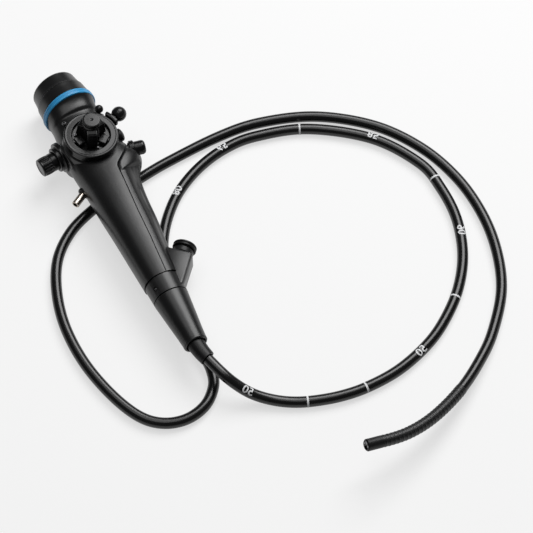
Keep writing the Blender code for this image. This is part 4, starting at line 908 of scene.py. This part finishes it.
class ENDO_OT_bending(bpy.types.Operator):
    """Build the bending section's cover, its fine ribs and the distal tip"""
    bl_idname = "endoscope.bending"
    bl_label = "Bending section"

    def execute(self, context):
        sizes = context.scene.endoscope_tube
        start = LINE.bend_start
        reach = COVER_OVERLAP * MM
        names = ["handle"] + ["link_%d" % (i + 1) for i in range(LINKS)]
        for number in range(1, LINKS + 1):
            joint = start + (number - 1) * LINK_PITCH
            low = joint - (reach if number == 1 else LINK_PITCH / 2.0)
            places = spaced(low, joint + LINK_PITCH / 2.0, 14)
            radii = [sizes.cover_radius] * len(places)
            if number == 1:
                rise = [min(1.0, max(0.0, 1.0 - abs(d - joint) / reach) * 3.0) for d in places]
                radii = [sizes.cover_radius + COVER_BEAD * MM * share for share in rise]
            name = "bending_cover_%d" % number
            piece = add_piece(name, skin_mesh(name, places, radii), "bend", None,
                              "bending_link_%d" % number)
            along = LINE.aim(joint) * BLEND_REACH * MM
            centre = LINE.at(joint)
            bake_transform(piece)
            name = "bending_ribs_%d" % number
            count = sizes.ribs_per_link
            points = points_with_aim(name, [joint + LINK_PITCH * (k + 0.5) / count for k in range(count)])
            ribs = run_tree(name, points, GROUPS["hoops"], Hoop_Radius=sizes.cover_radius - 0.00001,
                            Half_Width=0.00052, Half_Depth=0.00013, Steps_Round=36, Finish=LOOK["bend"])
            add_piece(name, ribs, "bend", names[number])
        places = spaced(start + (LINKS - 0.5) * LINK_PITCH, start + LINKS * LINK_PITCH + 0.1 * MM, 6)
        add_piece("bending_cover_end", skin_mesh("bending_cover_end", places, [sizes.cover_radius] * 7),
                  "bend", "link_8")
        twin("distal_tip", "rubber", "link_8", 0.00012)
        finish_node("distal_lens", "lens")
        finish_node("light_guide_upper", "guide")
        finish_node("light_guide_lower", "guide")
        return {"FINISHED"}


class ENDO_OT_eyepiece(bpy.types.Operator):
    """Build the eyepiece cup, its lens, the focus ring and the blue band"""
    bl_idname = "endoscope.eyepiece"
    bl_label = "Eyepiece"

    def execute(self, context):
        cup = [(10.9, 49.7), (11.1, 49.9), (11.8, 49.9), (12.25, 49.75), (12.6, 49.1), (12.72, 47.8),
               (13.0, 45.6), (13.35, 43.2), (13.5, 42.1), (8.3, 42.1), (8.3, 44.6), (8.9, 44.9),
               (9.6, 46.6)]
        lathe("eyepiece_cup_moulded", cup, HEAD, "head", "handle", "eyepiece_cup", 0.00018)
        crown = [(0.0, 44.3), (3.0, 44.24), (5.4, 44.12), (6.8, 44.0), (7.6, 43.8), (8.0, 43.5),
                 (8.0, 42.1), (0.0, 42.1)]
        lathe("eyepiece_lens_crown", crown, HEAD, "lens", "handle", "eyepiece_lens", 0.0001)
        focus = [(11.3, 41.8), (13.6, 41.8), (13.9, 41.65), (14.04, 41.3), (14.2, 39.0), (14.45, 36.6),
                 (14.66, 34.9), (14.7, 34.4), (11.3, 34.4)]
        lathe("focus_ring_turned", focus, HEAD, "head", "focus", "focus_ring", 0.0002)
        band = [(11.3, 34.1), (14.9, 34.1), (15.15, 33.9), (15.25, 33.5), (15.25, 32.75), (15.1, 32.6),
                (15.1, 32.35), (15.25, 32.2), (15.25, 31.35), (15.12, 31.0), (14.9, 30.8), (11.3, 30.8)]
        lathe("blue_band_ring", band, HEAD, "band", "handle", "blue_band", 0.00008)
        return {"FINISHED"}


def along_rows(rows, y):
    """Smooth values between table rows that run from high y to low y."""
    for i in range(len(rows) - 1):
        if rows[i][0] >= y >= rows[i + 1][0]:
            before = rows[max(i - 1, 0)]
            after = rows[min(i + 2, len(rows) - 1)]
            a, b = rows[i], rows[i + 1]
            t = (a[0] - y) / (a[0] - b[0])
            span = b[0] - a[0]
            values = []
            for k in range(1, len(a)):
                m0 = (b[k] - before[k]) / (b[0] - before[0]) * span if before is not a else b[k] - a[k]
                m1 = (after[k] - a[k]) / (after[0] - a[0]) * span if after is not b else b[k] - a[k]
                values.append((2 * t ** 3 - 3 * t ** 2 + 1) * a[k] + (t ** 3 - 2 * t ** 2 + t) * m0
                              + (3 * t ** 2 - 2 * t ** 3) * b[k] + (t ** 3 - t ** 2) * m1)
            return values
    return list(rows[-1][1:])


def seam_x(y):
    """Where the parting line lies at a place along the handle."""
    if y >= COVER_SEAM[0][1]:
        return SEAM_ABSENT
    for (x0, y0), (x1, y1) in zip(COVER_SEAM, COVER_SEAM[1:]):
        if y0 >= y >= y1:
            return x0 + (x1 - x0) * (y0 - y) / (y0 - y1)
    return COVER_SEAM[-1][0]


def ease(value, width):
    """Smooth step from 0 to 1 while value runs from minus half the width to plus half."""
    t = min(1.0, max(0.0, value / width + 0.5))
    return t * t * (3.0 - 2.0 * t)


def relief(x, y, z):
    """Height in mm that the mould adds to the plain form: the cover's raised panel and its facet."""
    if z <= RELIEF_FLOOR or y >= RELIEF_TOP:
        return 0.0
    inside = ease(x - seam_x(y) - PANEL_MARGIN, 1.0)
    above = y - PANEL_EDGE[1] - PANEL_SLOPE * (x - PANEL_EDGE[0])
    height = PANEL_HEIGHT * inside * ease(above, 1.1)
    crease = CREASE_PLACE - CREASE_LEAN * (PANEL_EDGE[1] - y)
    if y < FACET_TOP and x > crease:
        height -= min(FACET_DEPTH, (x - crease) * FACET_SLOPE) * (1.0 - ease(above, 2.2))
    return height * ease(z - 5.0, 4.0)


def body_loop(y, first, last, count, inset):
    """Points of one section between two angles, from the outside or drawn in by the inset."""
    left, right, up, down = along_rows(BODY_ROWS, y)
    share = max(0.0, (y - NECK_START) / (SHELL_TOP - NECK_START))
    turn = Matrix.Rotation(math.radians(HEAD_TURN) * share, 3, "Z")
    middle = Vector((NECK_SHIFT * share, y, 0.0))
    points = []
    for i in range(count):
        angle = first + (last - first) * i / (count - 1)
        cosine, sine = math.cos(angle), math.sin(angle)
        power = 2.0 / SQUARENESS
        x = math.copysign(abs(cosine) ** power, cosine) * ((right if cosine > 0 else left) - inset)
        z = math.copysign(abs(sine) ** power, sine) * ((up if sine > 0 else down) - inset)
        if inset == 0.0:
            out = Vector((cosine, 0.0, sine)) * relief(x, y, z)
            x += out.x
            z += out.z
        points.append(HANDLE_PLACE + (middle + turn @ Vector((x, 0.0, z))) * MM)
    return points


def seam_angles(y, gap):
    """Upper and lower angle of the parting line on the section at y."""
    right = along_rows(BODY_ROWS, y)[1]
    share = (seam_x(y) + gap) / right
    if share >= 0.998:
        return WHOLE_ANGLE, -WHOLE_ANGLE
    angle = math.acos(max(0.0, share) ** (SQUARENESS / 2.0))
    return angle, -angle


def moulded_half(name, places, spans, count):
    """Closed curved wall: outer points one way, inner points back, joined row to row."""
    work = bmesh.new()
    rows = []
    for y, (first, last) in zip(places, spans):
        outer = body_loop(y, first, last, count, 0.0)
        inner = body_loop(y, first, last, count, SHELL_WALL)
        parted = abs(first) > 0.001
        brow = body_loop(y, first, last, count, EDGE_INSET if parted else BLUNT_INSET)
        if parted:
            lip = math.copysign(LIP_ANGLE, last - first)
            rounded = body_loop(y, first + lip, last - lip, count, LIP_INSET)
            outer[0] = rounded[0]
            outer[-1] = rounded[-1]
        rows.append([work.verts.new(p) for p in [brow[0]] + outer + [brow[-1]] + inner[::-1]])
    join_rings(work, rows)
    return finished_mesh(name, work, 40.0)


class ENDO_OT_body(bpy.types.Operator):
    """Mould the main shell, the side cover and the two bosses, and set their screws"""
    bl_idname = "endoscope.body"
    bl_label = "Control body"

    def execute(self, context):
        places = spaced(SHELL_TOP, SHELL_FOOT, SHELL_ROWS)
        spans = []
        for y in places:
            upper, lower = seam_angles(y, -SEAM_HALF_GAP)
            spans.append((upper, 2.0 * math.pi + lower))
        valve_bore = (VALVE, 5.3, -5.2, 6.0)
        bores = [valve_bore, (BUTTON, 4.0, -5.0, 5.0), (DOME, 3.7, -4.0, 5.0)]
        shell = bored(moulded_half("main_shell_moulded", places, spans, SHELL_POINTS), bores)
        add_piece("main_shell_moulded", shell, "shell", "handle", "main_shell")
        start = next(y for y in places if seam_angles(y, SEAM_HALF_GAP)[0] > COVER_START_ANGLE)
        places = spaced(start, SHELL_FOOT, COVER_ROWS)
        spans = [seam_angles(y, SEAM_HALF_GAP) for y in places]
        cover = bored(moulded_half("side_cover_moulded", places, spans, COVER_POINTS), bores[1:])
        add_piece("side_cover_moulded", cover, "shell", "handle", "side_cover")
        boss = [(0.0, 14.1), (11.9, 14.1), (11.9, 11.3), (12.3, 11.0), (13.8, 10.9), (14.5, 10.1),
                (14.9, 8.0), (15.2, 4.0), (0.0, 4.0)]
        mesh = bored(lathe_mesh("knob_boss", boss, KNOB, 96), [valve_bore])
        add_piece("knob_boss", mesh, "shell", "handle")
        shifted = Matrix.Translation((0.0, -BOSS_DROP * MM, 0.0)) @ VALVE
        boss = [(0.0, 1.4), (8.3, 1.4), (8.7, 1.3), (9.05, 1.05), (9.25, 0.7), (9.3, 0.3), (9.3, -5.0),
                (0.0, -5.0)]
        mesh = bored(lathe_mesh("valve_boss", boss, shifted, 96), [valve_bore])
        add_piece("valve_boss", mesh, "shell", "handle")
        screw = [(0.0, 0.15), (0.5, 0.15), (0.55, 0.5), (0.95, 0.5), (1.15, 0.3), (1.15, -0.6), (0.0, -0.6)]
        lathe("neck_screw_head", screw, NECK_SCREW, "steel", "handle", "neck_screw", 0.00006,
              steps=28)
        small = [(0.0, -0.05), (0.3, -0.05), (0.33, 0.3), (0.55, 0.3), (0.7, 0.1), (0.7, -0.6), (0.0, -0.6)]
        lathe("collar_screw_head", small, COLLAR_SCREW, "steel", "handle", "collar_screw",
              0.00005, steps=24)
        return {"FINISHED"}


class ENDO_OT_lower_handle(bpy.types.Operator):
    """Build the collar with the port, the nose cone and the boot"""
    bl_idname = "endoscope.lower_handle"
    bl_label = "Lower handle"

    def execute(self, context):
        twin("lower_collar", "shell", "handle", 0.00018)
        cone = [(8.0, -99.2), (9.0, -99.2), (9.3, -99.6), (8.55, -106.5), (7.78, -114.0), (6.95, -121.5),
                (6.42, -127.6), (6.45, -128.2), (6.4, -128.9), (6.1, -129.35), (5.3, -129.4),
                (5.3, -121.4), (8.0, -105.2)]
        lathe("nose_cone_turned", cone, GRIP, "shell", "handle", "nose_cone", 0.00015)
        twin("boot", "rubber", "handle", 0.00018)
        neck = [(2.6, 29.5), (4.95, 29.5), (4.95, 28.1), (5.3, 27.85), (5.45, 27.5), (5.45, 25.1),
                (2.6, 25.1)]
        lathe("port_neck_turned", neck, PORT, "rubber", "handle", "port_neck", 0.00018)
        cap = [(1.0, 30.4), (2.2, 31.1), (5.7, 31.1), (6.1, 30.95), (6.25, 30.6), (6.25, 30.1),
               (5.9, 29.9), (5.9, 29.6), (6.25, 29.4), (6.25, 28.7), (5.95, 28.4), (5.25, 28.4),
               (5.25, 29.8), (1.0, 29.8)]
        lathe("port_cap_moulded", cap, PORT, "rubber", "cap", "port_cap", 0.00014)
        return {"FINISHED"}


class ENDO_OT_knob(bpy.types.Operator):
    """Build the disc, the star knob, its cap, and both levers"""
    bl_idname = "endoscope.knob"
    bl_label = "Star knob and levers"

    def execute(self, context):
        disc = [(3.7, 14.75), (9.75, 14.75), (9.9, 15.0), (10.15, 16.4), (10.45, 16.62), (12.9, 16.55),
                (13.2, 16.62), (13.75, 16.62), (14.1, 16.45), (14.25, 16.1), (14.25, 14.9), (14.05, 14.55),
                (13.65, 14.4), (3.7, 14.4)]
        lathe("knob_disc_moulded", disc, KNOB, "control", "handle", "knob_disc", 0.00012,
              steps=96)
        self.star()
        cap = [(0.0, 30.05), (0.5, 30.05), (0.75, 30.2), (1.0, 30.3), (3.9, 30.24), (4.4, 30.1),
               (4.65, 29.75), (4.65, 28.9), (4.5, 28.5), (4.15, 28.4), (2.3, 28.4), (2.3, 29.7),
               (0.0, 29.7)]
        lathe("knob_cap_moulded", cap, KNOB, "control", "knob", "knob_cap", 0.0001)
        twin("brake_lever", "control", "brake", 0.0004)
        twin("lock_lever", "control", "lock", 0.0003)
        twin("brake_ball", "control", "brake", 0.0002, 40.0)
        twin("lock_ball", "control", "lock", 0.00015, 40.0)
        return {"FINISHED"}

    def star(self):
        """Star grip: a stepped hub, three tall fins and three low lobes between them."""
        work = bmesh.new()
        for number in range(6):
            levels, inner = (LOW_LOBE, LOW_START) if number % 2 else (TALL_FIN, TALL_START)
            turn = math.radians(STAR_START + 60.0 * number)
            out = Vector((math.cos(turn), math.sin(turn), 0.0))
            side = Vector((-math.sin(turn), math.cos(turn), 0.0))
            rings = []
            for height, reach, half in levels:
                rings.append([work.verts.new(KNOB @ ((out * r + side * w + UP * height) * MM))
                              for r, w in ((inner, -half), (reach, -half), (reach, half), (inner, half))])
            join_rings(work, rings)
        fins = add_piece("star_fins", finished_mesh("star_fins", work, 30.0), "control", "knob")
        soften(fins, 0.00032, 3, 20.0)
        hub = [(4.25, 28.1), (4.55, 27.9), (4.6, 27.5), (4.35, 27.2), (4.35, 26.9), (4.45, 26.6),
               (4.4, 25.0), (4.4, 20.0), (4.6, 16.6), (4.6, 16.15), (2.3, 16.15), (2.3, 28.1)]
        lathe("star_hub", hub, KNOB, "control", "knob", "star_knob", 0.0001)


class ENDO_OT_valve(bpy.types.Operator):
    """Build the suction valve with its grip ribs, and the suction nipple"""
    bl_idname = "endoscope.valve"
    bl_label = "Suction valve"

    def execute(self, context):
        controls = context.scene.endoscope_controls
        housing = [(5.3, 5.4), (6.3, 5.4), (6.7, 5.2), (6.8, 4.9), (6.8, 3.5), (6.95, 3.2), (7.9, 3.2),
                   (8.3, 3.0), (8.4, 2.7), (8.4, 0.7), (5.3, 0.7)]
        lathe("valve_housing_moulded", housing, VALVE, "control", "handle", "valve_housing",
              0.00015)
        knob = [(0.0, 14.4), (3.5, 14.4), (3.7, 14.6), (4.3, 14.6), (4.75, 14.35), (4.95, 13.9),
                (4.8, 13.5), (4.8, 8.4), (4.98, 8.1), (5.0, 7.8), (5.0, 2.0), (1.5, 2.0), (1.5, 5.0),
                (0.0, 5.0)]
        lathe("valve_knob_moulded", knob, VALVE, "control", "valve", "valve_knob", 0.00012)
        seed = bpy.data.meshes.new("valve_seed")
        seed.from_pydata([(0.0, 0.0, 0.0)], [], [])
        ribs = run_tree("valve_grip_ribs", seed, ribs_round_tree(), Count=controls.valve_ribs,
                        Circle_Radius=0.00474, Rib_Radius=controls.rib_radius, Rib_Length=0.0056,
                        Start_Height=0.0082, Finish=LOOK["control"])
        ribs.transform(VALVE)
        add_piece("valve_grip_ribs", ribs, "control", "valve")
        collar = [(2.35, 3.1), (2.7, 3.1), (3.1, 2.9), (3.4, 2.4), (3.4, -3.0), (2.35, -3.0)]
        lathe("nipple_collar_moulded", collar, NIPPLE, "rubber", "handle", "nipple_collar",
              0.00015, steps=48)
        pipe = [(1.35, 10.5), (1.45, 10.6), (1.85, 10.6), (2.03, 10.42), (2.05, 10.1), (2.05, -2.6),
                (1.35, -2.6)]
        lathe("suction_nipple_turned", pipe, NIPPLE, "nipple", "handle", "suction_nipple",
              0.00008, steps=56)
        return {"FINISHED"}


class ENDO_OT_buttons(bpy.types.Operator):
    """Build the remote button in its collar, and the dome button"""
    bl_idname = "endoscope.buttons"
    bl_label = "Buttons"

    def execute(self, context):
        collar = [(4.15, 0.9), (4.35, 0.9), (4.65, 0.75), (4.8, 0.5), (4.8, -1.6), (4.15, -1.6)]
        lathe("button_collar_moulded", collar, BUTTON, "control", "handle", "button_collar",
              0.00012, steps=56)
        cap = [(0.0, 6.9), (1.4, 6.86), (2.6, 6.7), (3.3, 6.3), (3.68, 5.7), (3.85, 5.0), (3.85, -2.3),
               (0.0, -2.3)]
        lathe("remote_button_moulded", cap, BUTTON, "control", "button", "remote_button",
              0.00012, steps=56)
        dome = [(0.0, 2.2)]
        for i in range(1, 9):
            angle = math.radians(90.0 - 11.0 * i)
            dome.append((3.6 * math.cos(angle), 0.6 + 1.6 * math.sin(angle)))
        dome += [(3.6, 0.4), (3.6, -1.9), (0.0, -1.9)]
        lathe("dome_button_moulded", dome, DOME, "rubber", "dome", "dome_button", 0.00012,
              steps=48)
        return {"FINISHED"}


def finish_node(node, look):
    """Give a CAD node that stays its procedural material."""
    piece = frame["nodes"][node]
    if not piece.material_slots:
        piece.data.materials.append(LOOK[look])
    for slot in piece.material_slots:
        slot.material = LOOK[look]


class ENDO_OT_inner(bpy.types.Operator):
    """Finish the inner and small parts that keep their CAD shape"""
    bl_idname = "endoscope.inner"
    bl_label = "Inner parts"

    def execute(self, context):
        looks = {"soft_black": "rubber", "black_plastic": "shell", "tube_skin": "tube", "blue_band": "band",
                 "steel": "steel", "brass": "brass", "glass": "lens", "fibre": "fibre"}
        for part in frame["record"]["subparts"]:
            node = part["node"]
            if not frame["nodes"][node].hide_render and not node.startswith(("distal", "light_guide")):
                finish_node(node, looks[part["material_slot"]])
        return {"FINISHED"}


class ENDO_OT_stage(bpy.types.Operator):
    """Set the floor, the lamps, the world and the camera"""
    bl_idname = "endoscope.stage"
    bl_label = "Stage"

    def execute(self, context):
        scene = context.scene
        values = scene.endoscope_stage
        scene.view_settings.view_transform = "Standard"
        work = bmesh.new()
        bmesh.ops.create_grid(work, x_segments=2, y_segments=2, size=FLOOR_SIZE)
        floor = place_object("studio_floor", mesh_from("studio_floor", work))
        floor.location.z = -FLOOR_DROP
        floor.data.materials.append(self.floor_material(values.floor_colour))
        self.lamp("key_lamp", values.key_power, KEY_SIZE, KEY_PLACE)
        self.lamp("overhead_lamp", values.fill_power, OVERHEAD_SIZE, OVERHEAD_PLACE)
        self.world(scene)
        camera = place_object("photo_camera", bpy.data.cameras.new("photo_camera"))
        camera.data.sensor_width = 36.0
        camera.data.lens = values.focal_length
        camera.data.clip_start = 0.01
        camera.location = CAMERA_PLACE
        camera.rotation_euler = [math.radians(angle) for angle in CAMERA_TURN]
        scene.camera = camera
        return {"FINISHED"}

    def lamp(self, name, power, size, place):
        data = bpy.data.lights.new(name, "AREA")
        data.shape = "DISK"
        data.size = size
        data.energy = power
        made = place_object(name, data)
        made.location = place
        made.rotation_euler = (LAMP_TARGET - Vector(place)).to_track_quat("-Z", "Y").to_euler()

    def floor_material(self, colour):
        made = bpy.data.materials.new("studio_floor")
        made.use_nodes = True
        tree = made.node_tree
        tree.nodes.clear()
        ray = tree.nodes.new("ShaderNodeLightPath").outputs
        seen = math_node(tree, "MAXIMUM", ray["Is Camera Ray"], ray["Is Glossy Ray"])
        seen = math_node(tree, "MAXIMUM", seen, ray["Is Transmission Ray"])
        soft = add_node(tree, "ShaderNodeBsdfDiffuse", Color=tuple(colour))
        glow = add_node(tree, "ShaderNodeEmission", Strength=math_node(tree, "MULTIPLY", seen, FLOOR_GLOW))
        both = tree.nodes.new("ShaderNodeAddShader")
        tree.links.new(soft.outputs[0], both.inputs[0])
        tree.links.new(glow.outputs[0], both.inputs[1])
        add_node(tree, "ShaderNodeOutputMaterial", Surface=both.outputs[0])
        return made

    def world(self, scene):
        world = bpy.data.worlds.new("studio_world")
        scene.world = world
        world.use_nodes = True
        sky = world.node_tree.nodes["Background"]
        sky.inputs["Color"].default_value = (1.0, 1.0, 1.0, 1.0)
        sky.inputs["Strength"].default_value = WORLD_GLOW


class ENDO_PT_panel(bpy.types.Panel):
    """Lists the steps that build the endoscope"""
    bl_idname = "ENDO_PT_panel"
    bl_label = "Flexible endoscope"
    bl_space_type = "VIEW_3D"
    bl_region_type = "UI"
    bl_category = "Endoscope"

    def draw(self, context):
        for place in SETTINGS:
            group = getattr(context.scene, place)
            box = self.layout.box()
            for label in group.__annotations__:
                box.prop(group, label)
        for step in STEPS:
            self.layout.operator(step.bl_idname)


SETTINGS = {"endoscope_handle": HandleSettings, "endoscope_controls": ControlSettings,
            "endoscope_tube": TubeSettings, "endoscope_stage": StageSettings}
STEPS = (ENDO_OT_stage, ENDO_OT_tube, ENDO_OT_bending, ENDO_OT_eyepiece, ENDO_OT_body,
         ENDO_OT_lower_handle, ENDO_OT_knob, ENDO_OT_valve, ENDO_OT_buttons, ENDO_OT_inner)


def register():
    for kind in (*SETTINGS.values(), *STEPS, ENDO_PT_panel):
        bpy.utils.register_class(kind)
    for label, kind in SETTINGS.items():
        setattr(bpy.types.Scene, label, PointerProperty(type=kind))


def unregister():
    for label in SETTINGS:
        delattr(bpy.types.Scene, label)
    for kind in reversed((*SETTINGS.values(), *STEPS, ENDO_PT_panel)):
        bpy.utils.unregister_class(kind)


def declare_cord():
    """List the insertion tube's path and the pieces of the bending section and tip; nothing takes these
    lists.
    """
    path = [tuple(LINE.at(distance)) for distance in tube_places()]
    pieces = ["bending_cover_end", "distal_tip_smooth", "distal_lens", "light_guide_upper",
              "light_guide_lower", "printed_rings", "printed_numbers"]
    pieces += ["bending_%s_%d" % (kind, i + 1) for kind in ("cover", "ribs") for i in range(LINKS)]


def main():
    register()
    build_materials()
    for step in STEPS:
        getattr(bpy.ops.endoscope, step.bl_idname.split(".")[1])()
    declare_cord()


if __name__ == "__main__":
    main()
